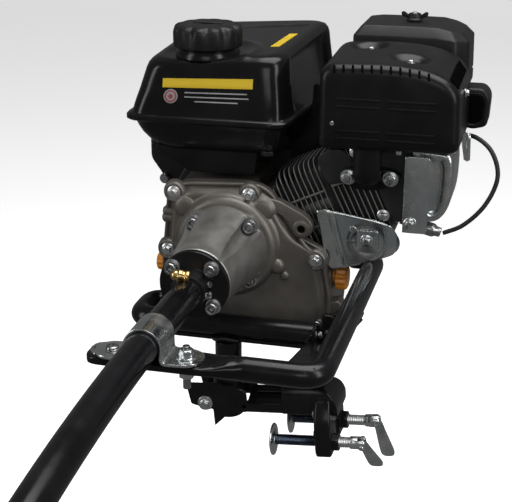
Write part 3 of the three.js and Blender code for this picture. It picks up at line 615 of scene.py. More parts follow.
def makeTank():
    rings = []
    for x0, x1, y0, y1, r, z in tank["rows"]:
        loop = evenly(roundedLoop(box2(x0, x1, y0, y1), r, 9), 200)
        x, y = loop.T
        x = x + np.clip(x / x1, 0, 1) * tank["flare"] * (y - y0)
        rings.append(np.stack([x, y, np.full(200, z)], -1))
    top, bottom = rings[-1], rings[0]
    middlePoint = np.array([-22, 128, 0])
    crown = [np.where([0, 0, 1], top, middlePoint + (top - middlePoint) * f) for f in np.linspace(0.94,
            0.06, 18)]
    floor = [np.where([0, 0, 1], bottom, middlePoint + (bottom - middlePoint) * f) for f in (0.1, 0.4,
            0.7, 0.9)]
    points = np.array(floor + rings + crown)
    x, y, z = points[..., 0], points[..., 1], points[..., 2]
    away = np.hypot(x - tank["fillerX"], y - tank["fillerY"])
    onTop = np.clip((z - 211) / 1.4, 0, 1)
    z = z + onTop * (1.5 * np.exp(-((away - 56) / 5) ** 2) - 1.6 * np.clip((50 - away) / 8, 0, 1))
    z = z + onTop * 1.2 * np.exp(-((y - 190 - 0.06 * x) / 2.4) ** 2) * (np.abs(x + 10) < 62)
    side = np.clip((x - 48) / 6, 0, 1) * np.clip((y - 52) / 12, 0, 1) * np.clip((214 - y) / 12, 0, 1)
    side = side * np.clip((z - 151) / 7, 0, 1) * np.clip((205 - z) / 6, 0, 1)
    x = x - 9.5 * side
    points = np.stack([x, y, tankTilt(x, y, z)], -1)
    collar = lathe([(37, 208), (36.4, 212), (35.2, 214.8), (34.4, 216), (33.8, 217.4), (30, 217.9),
                    (16, 218)], 72, "tankEnamel")
    drain = moved([lathe([(3, -2), (6.4, -1), (7.4, 0), (7.6, 9), (7, 10.5), (6, 11), (6, 24), (5, 26),
                          (2, 26.4)], 40, "grainedPlastic"), hexHead(14, -7, -1.5, "grainedPlastic")],
                  at=(43, 28, 112))
    support = slab([(-92, 107), (-86, 97), (-52, 77.5), (26, 77.5), (30, 107)], [2, 4, 6, 3, 2], 6, 80,
                   soft(32, 35.5, 1), "xz", "satinPaint")
    guard = slab([(50, 70), (136, 62), (146, 110), (117, 172), (78, 172), (77, 150), (71, 137), (62, 114),
                  (50, 106)], 4, 6, 80, soft(104.5, 110.5, 1.4), "xz", "satinPaint")
    makePiece("engineGuards", [support, guard], "motor")
    makePiece("tankShell", [gridSkin(points, finish="tankEnamel")] + moved([collar],
            at=(tank["fillerX"], tank["fillerY"], 0)) + drain,
              "motor", ["fuel_tank"], sharp=42)


def rimOf(p):  # the border points of a grid, in order
    return np.concatenate([p[0], p[1:-1, -1], p[-1, ::-1], p[-2:0:-1, 0]])


def frontLabel(x0, x1, z0, z1, lift=0.3, finish="labelYellow"):
    # a thin film that follows the tank's face
    x, z = np.meshgrid(np.linspace(x0, x1, 24), np.linspace(z0, z1, 6), indexing="xy")
    y = tankFront(z) - lift
    front = np.stack([x, y, tankTilt(x, y, z)], -1)
    back = front + np.array([0, 0.24, 0])
    inner = front.mean((0, 1))
    rows = np.array([rimOf(back), rimOf(front), inner + (rimOf(front) - inner) * 0.97])
    rows[2, :, 1] = rows[1, :, 1] - 0.02
    return gridSkin(rows, finish=finish)


def makeLabels():
    bars = [frontLabel(-50, 22, 173.9, 175.2, finish="labelGrey"), frontLabel(-50, 24, 169.0, 170.3,
            finish="labelGrey"),
            frontLabel(-38, 12, 164.1, 165.4, finish="labelGrey")]
    turn = np.linspace(0, 2 * pi, 48, endpoint=False)
    discs = []
    for radius, lift, finish in ((8.2, 0.3, "labelGrey"), (6.9, 0.45, "labelRed"),
        (5.3, 0.6, "labelGrey"), (2.6, 0.75, "labelRed")):
        rows = []
        for share, back in ((1.0, 0.28), (1.0, 0.0), (0.96, -0.02)):
            x, z = -66 + radius * share * np.cos(turn), 170 + radius * share * np.sin(turn)
            y = tankFront(z) - lift + back
            rows.append(np.stack([x, y, tankTilt(x, y, z)], -1))
        discs.append(gridSkin(np.array(rows), finish=finish))
    makePiece("tankLabels", [frontLabel(-76, 28, 180, 190.5)] + bars + discs, "motor")
    x, y = np.meshgrid(np.linspace(0, 1, 4), np.linspace(0, 1, 10), indexing="xy")
    place = lambda h: np.stack([33 + 10 * x + 7 * y, 78 + 66 * y, tankTilt(33 + 10 * x + 7 * y,
            78 + 66 * y, 212.8 + h + 0 * x)], -1)
    makePiece("topLabel", [gridSkin(np.array([rimOf(place(-0.3)), rimOf(place(0.12))]),
            finish="labelYellow")], "motor")


# ---- fuel cap: twelve finger lobes under a shallow dome
cap = {"lobes": 12, "notch": 1.6, "ribs": 96}


def makeCap():  # radius = profile minus a notch that deepens towards the top edge
    turn = np.linspace(0, 2 * pi, 240, endpoint=False)
    notch = np.clip(0.5 - 0.5 * np.cos(cap["lobes"] * turn), 0, 1) ** cap["notch"]
    rows = []
    for r, h, depth in ((24.5, 220, 0), (24.8, 218.4, 0), (37.0, 218.4, 0.2), (38.6, 219.4, 0.5),
                        (39.4, 222, 0.9), (39.6, 230, 1.4), (39.6, 235.5, 2.2),
                        (39.0, 239, 3.4), (37.6, 241.2, 4.4), (35.4, 242.6, 3.8), (32, 243.5, 2.0),
                        (28.5, 243.9, 0.5), (27, 243.4, 0), (26, 243.2, 0),
                        (16, 243.7, 0), (9, 244.0, 0), (7, 243.4, 0), (3, 243.3, 0)):
        ripple = 0.16 * np.sin(turn * cap["ribs"]) if 221 < h < 238 and r > 30 else 0
        radius = r - depth * notch + ripple
        rows.append(np.stack([radius * np.cos(turn), radius * np.sin(turn), np.full(240, h)], -1))
    grip = plate(roundedLoop(box2(-17, 17, -2.2, 2.2), 2, 4), soft(243.2, 245.2, 1.4), "xy",
                 "grainedPlastic")
    lids = moved([gridSkin(np.array(rows), finish="grainedPlastic"), grip],
                 at=(tank["fillerX"], tank["fillerY"], 0))
    makePiece("capBody", lids, "fuel cap", ["fuel_cap"])


makeTank()
makeLabels()
makeCap()
print("tank ready")

# ---- muffler shield: one pressed skin with slots, dimples and louvres
shield = {"outline": [(107, 131), (113, 127), (250, 129), (258, 134), (256.5, 193), (246, 207),
                      (222, 217), (190, 221), (150, 221), (118, 219), (108, 211)],
          "radius": [3, 6, 6, 5, 8, 14, 30, 40, 30, 8, 6], "screws": [(148.5, 75), (198.5, 29)]}


def shieldTop(y):  # the roof rises a little towards the back
    return 5.0 * np.clip((y + 10) / 100, 0, 1)


def makeShield():
    loop = evenly(roundedLoop(shield["outline"], shield["radius"], 10), 320)
    q = [(11, -16), (8, -15.6), (5.2, -14.5), (2.8, -12.6), (1.2, -10), (0.35, -7), (0, -3.5)]
    profile = [(44, -17.4), (36, -17.4), (28, -17.2), (22, -17), (17, -16.6), (13.5, -16.3)] + q
    profile += [(0, y) for y in np.arange(0, 94, 3.0)] + [(0, 95), (0.6, 97), (1.8, 98), (8, 98.2),
        (20, 98.2), (42, 98.2)]
    points, faces, own, mask = plate(loop, profile, "xz", "satinPaint")
    x, y, z = points.T
    roof = np.clip((z - 185) / 22, 0, 1)
    z = z + roof * shieldTop(y)
    for cx, cy in shield["screws"]:
        away = np.hypot((x - cx + 1) / 25, (y - cy) / 21)
        dip = np.clip((1 - away) / 0.62, 0, 1)
        z = z - np.clip((z - 196) / 8, 0, 1) * 7.0 * dip * dip * (3 - 2 * dip)
    skins = [(np.stack([x, y, z], -1), faces, own, mask)]
    crest = loop[loop[:, 1] > 192]
    crest = crest[np.argsort(crest[:, 0])]
    for k in range(11):  # slots on the front roof edge, each a black patch of painted shade
        sx = 124.5 + 9.9 * k
        sz = np.interp(sx, crest[:, 0], crest[:, 1])
        slot = plate(roundedLoop(box2(-1.25, 1.25, -4.4, 4.4), 1.1, 5), [(0.2, -1.5), (0, 0.5),
                (0.3, 0.8)], "xy", "voidBlack")
        skins += aimed([slot], (0.0, -0.80, 0.60), (sx, -14.1, sz - 4.4), roll=0.12)
    for k in range(12):  # slots on the right roof edge, each a black patch of painted shade
        sy = -3 + 7.0 * k
        slot = plate(roundedLoop(box2(-1.3, 1.3, -7.2, 7.2), 1.2, 5), [(0.2, -1.2), (0, 0.5), (0.3, 0.8)],
                     "xy", "voidBlack")
        skins += aimed([slot], (0.80, 0.0, 0.60), (249.4, sy, 203.6 + shieldTop(sy) * 0.85), roll=0.16)
    for row in (184, 176, 150, 142):  # shallow pressed louvres
        for cx, half in ((151, 24), (207, 26)):
            louvre = plate(roundedLoop(box2(cx - half, cx + half, row - 1.5, row + 1.5), 1.4, 5),
                [(0.6, -15), (0, -17.0), (0.4, -17.9), (1.2, -18.1)], "xz", "satinPaint")
            skins.append(louvre)
    for cx, cy in shield["screws"]:
        cz = np.interp(cx, [120, 190, 222], [220.5, 221, 217]) + shieldTop(cy) - 6.6
        skins += moved(flangeBolt(5.6, "zincPlate"), at=(cx, cy, cz))
    skins += aimed(flangeBolt(5.2, "zincPlate"), (1, 0, 0), (257.2, 32, 187))
    skins += aimed([lathe([(0.5, 0), (2.6, 0), (2.2, 0.5), (0.5, 0.4)], 20, "zincPlate")], (0, -1, 0),
                   (123.7, -16.4, 157))
    makePiece("shieldSkin", skins, "motor", ["muffler_shield"], sharp=44)
    can = plate(roundedLoop([(126, 152), (136, 142), (228, 142), (238, 152), (238, 184), (226, 194),
            (138, 200), (126, 190)], 8, 6),
                soft(0, 84, 4), "xz", "steelDark")
    makePiece("mufflerCan", [can], "motor", ["muffler"])


def makeExhaust():  # flange with two nuts and a wide oval duct rising to the muffler
    flange = plate(roundedLoop([(128, 84), (148, 76), (170, 76), (193, 86), (195, 96), (180, 101),
            (140, 101), (127, 93)], 7, 6),
                   soft(27, 15, 1.2), "xz", "satinPaint")
    path = routed([(159, 26, 90), (159, 4, 90), (160, 2, 140)], 15, 2)
    oval = circle(1.0, 40) * np.array([15.5, 9.5])
    skins = [flange, sweep(path, oval, (0, -1, 0.02), finish="satinPaint")]
    for x, z in ((137, 90), (184, 91)):
        skins += aimed([lathe([(0.5, 0), (8.6, 0), (8.6, 1.2), (0.5, 1.3)], 32, "zincPlate"),
                        hexHead(12.4, 1.2, 7.5, "zincPlate"),
                        rod(4, 6, 11.5, 0.6, 24, "steelDark")], (0, -1, 0), (x, 15, z))
    skins.append(plate(roundedLoop(box2(190, 196, 121, 130), 1.5, 4), soft(4, 12, 1), "xz", "zincPlate"))
    makePiece("exhaustDuct", skins, "motor", ["exhaust_elbow"])


makeShield()
makeExhaust()
print("exhaust ready")

# ---- air cleaner: moulded box with an eased lid, wing nut and snorkel
cleaner = {"topX": 172, "lidStart": 215, "nut": (184, 163, 240.2)}


def makeAirCleaner():
    loop = evenly(roundedLoop([(119, 116), (237, 114), (252, 130), (252, 196), (238, 212), (133, 212),
            (119, 200)], [5, 4, 4, 4, 4, 4, 4], 8), 320)
    profile = [(50, 168.5), (6, 168.5), (1.2, 168.9), (0, 170.5), (0, 181), (1.4, 182), (1.4, 184),
               (0.2, 185), (0.6, 205), (1.0, 226.4), (1.3, 227.6), (1.9, 228.6),
               (8.6, 237.2), (9.6, 238.2), (11, 238.7), (16, 239.1), (24, 239.3), (40, 239.5)]
    points, faces, own, mask = plate(loop, profile, "xy", "grainedPlastic", centre=(185, 163))
    x, y, z = points.T
    lid = np.clip((z - cleaner["lidStart"]) / 22, 0, 1)
    z = z - lid * (np.clip((x - 215) / 37, 0, 1) * 7 + 0.00022 * (x - cleaner["topX"]) ** 2)
    ridge = np.clip((z - 236) / 1.5, 0, 1) * np.exp(-(np.hypot(x - 184, (y - 163) * 0.9) / 17) ** 4)
    z = z - 1.6 * ridge
    base = slab(box2(118, 244, 112, 206), 10, 8, 160, soft(150.5, 168, 2.4), "xy", "grainedPlastic")
    makePiece("airCleanerLid", [(np.stack([x, y, z], -1), faces, own, mask)], "motor",
              ["air_cleaner_cover"], sharp=50)
    makePiece("airCleanerBase", [base], "motor", ["air_cleaner_case"], sharp=50)


def makeWingNut():  # two raised ears either side of a round nut
    ear = [(3, 0), (15, 4), (15.8, 8.6), (12.4, 9.4), (8, 6), (3, 5.2)]
    blades = [slab([(s * a, b) for a, b in ear][:: int(s)], 1.6, 5, 60, soft(-1.9, 1.9, 0.9), "xz",
                   "grainedPlastic") for s in (1, -1)]
    hub = lathe([(9.5, 0), (9.5, 1), (8, 2.2), (7.2, 6.5), (6.4, 7.4), (4.2, 7.6), (3.6, 6.2),
                 (2.0, 6.4)], 40, "grainedPlastic")
    stud = rod(2.6, 2, 9, 0.5, 20, "zincPlate")
    makePiece("wingNut", moved([hub, stud] + blades, at=cleaner["nut"]), "wing nut", ["wing_nut"])


def makeSnorkel():
    loop = evenly(roundedLoop([(248, 133), (262, 130), (278, 134), (280, 168), (272, 177), (250, 177)],
            [3, 5, 6, 8, 5, 3], 8), 120)
    body = plate(loop, soft(100, 136, 3.5), "xz", "grainedPlastic")
    mouth = plate(evenly(roundedLoop([(251, 137), (262, 134), (275, 138), (276.5, 166), (270, 172.5),
            (252, 172.5)], 4, 6), 80),
                  [(0.5, 100), (0, 98.9), (1.2, 98.6), (2.2, 99.6)], "xz", "grainedPlastic")
    # the mouth's inside is a black patch of painted shade
    mouthShade = plate(evenly(roundedLoop([(254, 140), (262, 137.5), (272, 141), (273.5, 164), (268, 169.5),
            (254.5, 169.5)], 4, 6), 60),
                   [(0.3, 99), (0, 98.5), (0.4, 98.4)], "xz", "voidBlack")
    bracketTab = plate(roundedLoop([(256, 98), (263, 98), (262, 130), (250, 132)], 1.5, 4),
                       soft(84, 86.4, 0.6), "xz", "zincPlate")
    makePiece("snorkelBody", [body, mouth, mouthShade, bracketTab], "motor", ["intake_snorkel"])


makeAirCleaner()
makeWingNut()
makeSnorkel()
print("air cleaner ready")

# ---- finned cylinder and head: thin plates whose rims carry a painted highlight
fins = {"pitch": 6.2, "thick": 1.5, "barrel": (64, 131), "head": (137, 184)}


def finPlate(at, low, high, front, back, roundness, finish="finBlack"):
    # stands across the cylinder axis; rims carry the edge mask, where the painted highlight goes
    loop = evenly(roundedLoop([(front, low), (back, low), (back, high), (front, high)], roundness, 7), 84)
    t = fins["thick"]
    profile = [(12, at), (0.9, at), (0.3, at + 0.12), (0, at + t * 0.35), (0, at + t * 0.65),
               (0.3, at + t - 0.12), (0.9, at + t), (12, at + t)]
    return plate(loop, profile, "yz", finish, edge=[0, 0, 0.5, 1, 1, 0.5, 0, 0])


def makeCylinder():
    core = slab([(33, -41), (99, -41), (99, 43), (33, 43)], 16, 8, 80, soft(58, 133, 1), "yz", "finBlack")
    skins = [core]
    for k, s in enumerate(np.arange(*fins["barrel"], fins["pitch"])):
        skins.append(finPlate(s, -49 + (3 if k < 2 else 0), 53 - max(0, 3 - k) * 6, 28.5, 103.5, 15))
    for w in (-22, 14):  # a cast rib that ties the fins together; one face carries the painted highlight
        skins.append(slab(box2(66, 128, w, w + 2.6), 1, 4, 30, soft(33, 28.1, 0.8), "xz", "finBlack",
                          edge=[0] * 5 + [1] * 5))
    makePiece("barrelFins", skins, "motor", ["cylinder_barrel"], space=cylinderSpace)
    core = slab([(32, -43), (100, -43), (100, 45), (32, 45)], 12, 8, 80, soft(133.4, 186, 1), "yz",
                "finBlack")
    skins = [core]
    for k, s in enumerate(np.arange(*fins["head"], fins["pitch"])):
        skins.append(finPlate(s, -50, 55, 27, 104, 9))
    # one face of this rib carries the painted highlight
    skins.append(slab(box2(136, 184, 16, 19), 1, 4, 30, soft(32, 26.6, 0.8), "xz", "finBlack", edge=[0]
                      * 5 + [1] * 5))
    skins.append(slab([(134, 20), (160, 16), (170, 24), (168, 52), (150, 58), (134, 54)], 7, 6, 60,
                      soft(34, 25.5, 1.2), "xz", "finBlack"))
    for s, w in ((141, -36), (178, -34), (178, 44)):
        skins += aimed(flangeBolt(7.5, "zincPlate"), (0, -1, 0), (s, 27.5, w))
    head = [(148, 122), (167, 78), (186, 38), (205.6, 38), (205.6, 122)]
    box = slab(head, 3, 5, 90, soft(27, 100, 2), "xz", "finBlack")
    skins.append((box[0] @ turnAboutY(cylinderLean).T, box[1], box[2], box[3]))
    makePiece("headFins", skins, "motor", ["cylinder_head"], space=cylinderSpace)


# ---- zinc pressings: valve cover, strip, lower air shroud
valve = {"outline": [(212, 45), (222, 40), (236, 42), (246, 55), (250.5, 76), (251, 112), (246, 122),
                     (214, 124)],
         "radius": [4, 10, 10, 16, 20, 12, 8, 3]}


def makeValveCover():
    loop = evenly(roundedLoop(valve["outline"], valve["radius"], 10), 160)
    profile = [(16, 27.5), (12.5, 27.2), (10.5, 25.8), (8, 24.4), (5, 24.2), (2.4, 25.2), (0.8, 27.6),
               (0.2, 31), (0, 36), (0, 60), (0, 88), (0.6, 94), (3, 97.4), (7, 98), (16, 98)]
    shell = plate(loop, profile, "xz", "zincSheet")
    loop = evenly(roundedLoop([(206, 34), (214.6, 34), (214.6, 126), (206, 126)], 2, 5), 60)
    flange = plate(loop, soft(20, 102, 1.5), "xz", "zincPlate")
    skins = [shell, flange]
    for z, y in ((40, 30), (118, 30), (118, 92), (40, 92)):
        skins += aimed(flangeBolt(6.4, "zincPlate"), (1, 0, 0), (214.4, y, z))
    makePiece("valveCoverShell", skins, "motor", ["valve_cover"], sharp=45)


def makeStrip():
    strip = slab([(199, 31), (226, 31), (226, 118), (199, 118)], [3, 5, 2, 2], 6, 80, soft(15, 13, 0.7),
                 "xz", "zincPlate")
    lip = plate(roundedLoop(box2(199, 201.2, 31, 118), 0.8, 4), soft(13.2, 19.3, 0.5), "xz", "zincPlate")
    skins = [strip, lip] + aimed(flangeBolt(7.6, "zincPlate"), (0, -1, 0), (207.5, 13, 42))
    makePiece("headStrip", skins, "motor", ["head_strip"])


def makeLowerShroud():
    outline = [(100, 46), (112, 48), (168, 40), (186, 35), (198, 16), (192, 1), (158, -13), (121, -24),
               (114, -20), (108, 10)]
    loop = evenly(roundedLoop(outline, [3, 4, 8, 8, 8, 10, 12, 6, 6, 8], 8), 240)
    profile = [(24, 24.4), (20, 24.2), (2, 24.2), (0.2, 23.6), (0, 23), (0.4, 22.2),
               (1.4, 21.6)] + [(inset, 21.4) for inset in np.arange(3, 36, 1.5)]
    points, faces, own, mask = plate(loop, profile, "xz", "zincSheet")
    x, y, z = points.T
    front = np.clip((23 - y) / 1.4, 0, 1)
    away = np.hypot((x - 159) / 20, (z - 14) / 19)
    y = y + front * 1.3 * np.clip((1.2 - away) / 0.5, 0,
        1) ** 2 - front * 1.5 * np.exp(-((x + 0.25 * z - 128) / 3.0) ** 2)
    y = y + front * 5.0 * np.clip((x - 178) / 19, 0, 1) ** 2
    skins = [(np.stack([x, y, z], -1), faces, own, mask)]
    pad = plate(roundedLoop(box2(148, 172, 1, 27), 3, 5), soft(21.6, 20.4, 0.5), "xz", "zincPlate")
    skins += [pad] + aimed(flangeBolt(7.6, "zincPlate"), (0, -1, 0), (159, 20.6, 15.5))
    tray = slab([(27, -60), (107, -60), (107, -52), (27, -52)], 2.5, 5, 60, soft(107, 179, 1.2), "yz",
                "zincSheet")
    skins += [(tray[0] @ turnAboutY(-cylinderLean).T, tray[1], tray[2], tray[3])]
    makePiece("lowerAirShroud", skins, "motor", ["lower_shroud"], sharp=50)


makeCylinder()
makeValveCover()
makeStrip()
makeLowerShroud()
print("cylinder ready")

# ---- crankcase side cover: rim, raised body, boss ring, bolt lugs
cover = {"outline": [(-72, -104), (118, -104), (122, -60), (114, -22), (113, 1), (101, 7), (85, 15),
                     (71, 31), (61, 50), (51, 66), (34, 75), (-54, 70), (-73, 58), (-77, 12), (-81, -20),
                     (-81, -60)],
         "caseOutline": [(-72, -104), (118, -104), (122, -60), (112, -24), (70, -24), (31, 64), (26, 74),
                         (-54, 70), (-73, 58), (-77, 12), (-81, -20), (-81, -60)],
         "radius": [8, 8, 20, 18, 7, 7, 9, 12, 12, 8, 10, 12, 10, 14, 16, 10], "middle": (8, -12),
         "bolts": [(-63, 58), (26, 62), (103, -10), (-72, -12)], "lowBolts": [(104, -92), (-60, -92)]}


def makeCover():
    loop = evenly(roundedLoop(cover["outline"], cover["radius"], 8), 280)
    profile = [(60, 25), (4, 25), (0.6, 24.6), (0, 23.6), (0, 15.8), (0.5, 14.4), (1.6, 13.8),
               (3.0, 13.8), (4.0, 14.6), (4.8, 16.2), (6.2, 16.6), (7.4, 15.8), (8.4, 14.6),
               (9.8, 12.6), (11.2, 10.6), (13, 9.4), (15.5, 8.9), (20, 9.0), (28, 8.6), (38, 8.0),
               (50, 7.4), (62, 7.2), (74, 7.2)]
    body = plate(loop, profile, "xz", "castPaint", centre=cover["middle"])
    boss = lathe([(20, -12), (64, -9.4), (61, -7.6), (59.4, -5), (58.4, -2.6), (56.6, -1.0), (55.0, 0.2),
                  (53.6, 1.0), (50, 1.2), (30, 1.2)], 120, "castPaint")
    skins = [body] + aimed([boss], (0, -1, 0), (0, 0, 0))
    for x, z in cover["bolts"]:
        lug = lathe([(9, -10), (14, -8.5), (13.2, -3), (11.8, 0.4), (10.4, 1.2), (9.6, 0.5), (2, 0.5)],
                    40, "castPaint")
        skins += aimed([lug] + flangeBolt(8.2), (0, -1, 0), (x, 10, z))
    for x, z in cover["lowBolts"]:
        skins += aimed([lathe([(8, -10), (12, -8), (11, -2), (9.5, 0), (2, 0)], 40, "castPaint")]
                       + flangeBolt(8.0), (0, -1, 0), (x, 11, z))
    ear = slab([(42, 60), (60, 57), (92, 41), (99, 31), (98, 20), (88, 14.5), (78, 19), (70, 36),
                (54, 46)], [4, 5, 8, 7, 7, 6, 6, 8, 4], 7, 120, soft(25, 11.4, 2.4), "xz", "castPaint")
    brow = sweep(along(np.array([(84, 12.6, 14), (92, 12.2, 4), (99, 12.4, -1)], float), 1.5),
                 circle(2.6, 20), (0, -1, 0.02), finish="castPaint")
    eye = lathe([(0.5, -2), (10.5, -2), (10, 1.8), (8.4, 2.8), (5.2, 2.8), (4.4, 1.6), (4.3, -1)], 40,
                "castPaint")
    # the eye's hole is a black disc of painted shade
    well = lathe([(0.5, 0.2), (4.4, 0.2), (4.4, 1.1), (0.5, 1.2)], 24, "voidBlack")
    skins += [ear, brow] + aimed([eye, well], (0, -1, 0), (86.3, 10.6, 26.4))
    # soft cast bumps round the boss
    for x, z, r, h in ((-50, 42, 11, 3.0), (59, -20, 8.5, 6.0), (68, -31, 5, 3.4), (40, 44, 12, 3.0),
                       (-44, -34, 8, 2.2)):
        skins += aimed([lathe([(r * 1.5, -4), (r * 1.2, -0.8), (r, h * 0.5), (r * 0.7, h * 0.9),
                (r * 0.3, h)], 36, "castPaint")], (0, -1, 0), (x, 8.4, z))
    for a, b in (((-60, 31), (-79, 33)), ((-60, 24), (-80, 25))):
        path = along(np.array([(a[0], 19, a[1]), (b[0], 19, b[1])], float), 2)
        skins.append(pipeSkin(path, 6.5, 28, "castPaint", bevel=3))
    foot = slab([(88, -104), (92, -76), (102, -68), (130, -60), (133, -66), (130, -104)],
                [3, 6, 6, 5, 4, 3], 7, 100, soft(40, 19, 2), "xz", "castPaint")
    skins.append(foot)
    makePiece("sideCover", skins, "motor", ["crankcase_cover"], sharp=50)


def makeCase():
    loop = evenly(roundedLoop(cover["caseOutline"], 9, 8), 240)
    profile = [(60, 25.4), (2, 25.4), (0.6, 25.6), (0.2, 26.4), (0.2, 31), (1.4, 33), (2, 40), (2, 60),
               (2, 84), (1.2, 98), (0.2, 101), (0, 110), (1, 112), (50, 112)]
    skins = [plate(loop, profile, "xz", "castPaint", centre=cover["middle"])]
    skins.append(slab(box2(-84, 130, 34, 104), 6, 6, 100, soft(-106, -94, 2), "xy", "castPaint"))
    for y in (44, 68, 90):
        skins.append(plate(roundedLoop([(-80, -94), (-72, -94), (-74, -40), (-79, -30)], 2, 4),
                soft(y - 2, y + 2, 0.8), "xz", "castPaint"))
    for side, x in ((-1, -78), (1, 116)):
        skins += aimed([lathe([(6, -10), (14, -8), (14, 1), (12.8, 2.4), (9, 2.6)], 44, "castPaint")],
                       (side, 0, 0.12), (x, 44, -40))
    makePiece("caseCasting", skins, "motor", ["crankcase"], sharp=50)


# ---- bell housing: cone with four screw wells, turned end face
bell = {"screws": 32.5, "well": 8.7, "length": 112, "lug": 5.2, "flank": 2.6}


def makeBell():  # radius = cone, except inside the four wells where it drops to the wells' inner wall
    turn = np.linspace(0, 2 * pi, 288, endpoint=False)
    heights = np.concatenate([[0.3, 0.3, 1.4, 3.4, 4.4, 5.2, 7, 9, 9.9], np.linspace(10.0, 14, 6),
            np.linspace(16, 98, 42), [102, 107, 111, 112.2, 112.3]])
    cone = np.interp(heights, [0, 0.3, 1.4, 3.4, 5.2, 8, 12, 18, 98, 111, 112.2, 112.3],
                     [49, 49.8, 50.4, 50.4, 50, 49.2, 48.2, 47, 38, 38, 37, 30])
    phi = turn % (pi / 2) - pi / 4
    far = bell["screws"] * np.sqrt(2)
    inside = bell["well"] ** 2 - (far * np.sin(phi)) ** 2
    wall = np.where(inside > 0, far * np.cos(phi) - np.sqrt(np.maximum(inside, 0)), 99.0)
    depth = np.clip((heights - 9.4) / 0.8, 0, 1)[:, None]
    cone = cone[:, None] + 0 * phi[None]
    cone = cone + bell["lug"] * np.exp(-(phi / 0.2) ** 4)[None] * (1 - depth)
    lug = np.exp(-((np.abs(phi) - 0.26) / 0.1) ** 2)[None] * np.clip(1 - (heights - 10) / 30, 0, 1)[:,
        None] * bell["flank"]
    radius = cone * (1 - depth) + np.minimum(cone, wall[None]) * depth
    radius = np.where(wall[None] < cone, radius, radius + lug * (depth > 0.5))
    points = np.stack([radius * np.cos(turn), -np.repeat(heights[:, None], 288, 1),
                       radius * np.sin(turn)], -1)
    makePiece("bellCone", [gridSkin(points, finish="machined")], "motor", ["bell_housing"], sharp=32)
    for k, (sx, sz) in enumerate(((-1, 1), (1, 1), (1, -1), (-1, -1))):
        washer = lathe([(3, 9.9), (7.6, 9.9), (7.6, 11.2), (3, 11.3)], 36, "zincPlate")
        screw = moved(socketScrew(6.4, 9.6), at=(0, 0, 11.2))
        makePiece(f"bellScrew{k + 1}", aimed([washer] + screw, (0, -1, 0), (sx * bell["screws"], 0,
                sz * bell["screws"])), "motor", [f"bell_screw_{k + 1}"])


def makeFlange():
    y = bell["length"] + 0.6
    disc = lathe([(5, y), (36.5, y), (37.8, y + 1), (38, y + 2), (38, y + 6.4), (37.4, y + 7.6),
                  (36, y + 8), (21, y + 8), (19.6, y + 8.6), (19, y + 11),
                  (19, y + 27), (18.4, y + 29.4), (17.0, y + 30), (10, y + 30)], 96, "satinPaint")
    skins = aimed([disc], (0, -1, 0), (0, 0, 0))
    for x, z in ((-22.5, 20), (20.5, 21.2), (21.8, -20.8), (-22.5, -21)):
        skins += aimed([lathe([(3, 0), (8.2, 0), (8.2, 1.4), (3, 1.5)], 32, "zincPlate")]
                       + moved(socketScrew(6.6, 9.5), at=(0, 0, 1.4)), (0, -1, 0), (x, -(y + 8), z))
    skins += aimed([lathe([(1, 0), (4.4, 0), (4.6, 2.4), (3.4, 4), (1, 4.4)], 28, "polishedSteel")],
                   (0, -1, 0), (14, -(y + 8), 3))
    skins += aimed([lathe([(1, 0), (5.2, 0), (5.2, 3), (3.2, 4.6), (1, 5)], 28, "steelDark")], (0, -1, 0),
                   (15.5, -(y + 8), -8))
    for along2, high in ((-126.5, 5), (-136, -4)):
        skins += aimed(socketScrew(3.4, 4), (0.86, -0.35, 0.36), (17.2, along2, high))
    makePiece("tubeFlange", skins, "motor", ["tube_flange"])
    nipple = [lathe([(2, -1), (5.4, -1), (7.2, 0.4), (7.6, 2), (7.2, 3.6), (6.2, 4.6), (6.2, 6.6),
                     (7.0, 7.4), (7.0, 10.4), (6.2, 11.2), (5.6, 12.6), (5.8, 14.2),
                     (5.0, 17), (3.4, 18.6), (1, 19)], 48, "brassTurned")]
    elbow = aimed(nipple, (-0.97, -0.12, 0.16), (3.2, -145, 18.4)) + aimed([rod(4.6, -8, 2, 1, 28,
            "brassTurned")], (0.1, 0, 1), (-5, -145.4, 16))
    makePiece("greaseNipple", elbow, "motor", ["grease_fitting"])


def makeTube():
    path = tubeLine(np.linspace(0, tubeLength, 240))
    skins = [pipeSkin(path, tubeRun["radius"], 56, "glossEnamel")]
    makePiece("shaftTube", skins, "motor", ["shaft_tube"])


makeCover()
makeCase()
makeBell()
makeFlange()
makeTube()
print("casting and shaft line ready")

# ---- frame: flattened front tab, round bar, crossbar, engine bed, strut and post
frameLine = {"bar": 12, "y": -258, "z": -21.5, "railX": 164, "back": 60, "end": 134, "bend": 21}


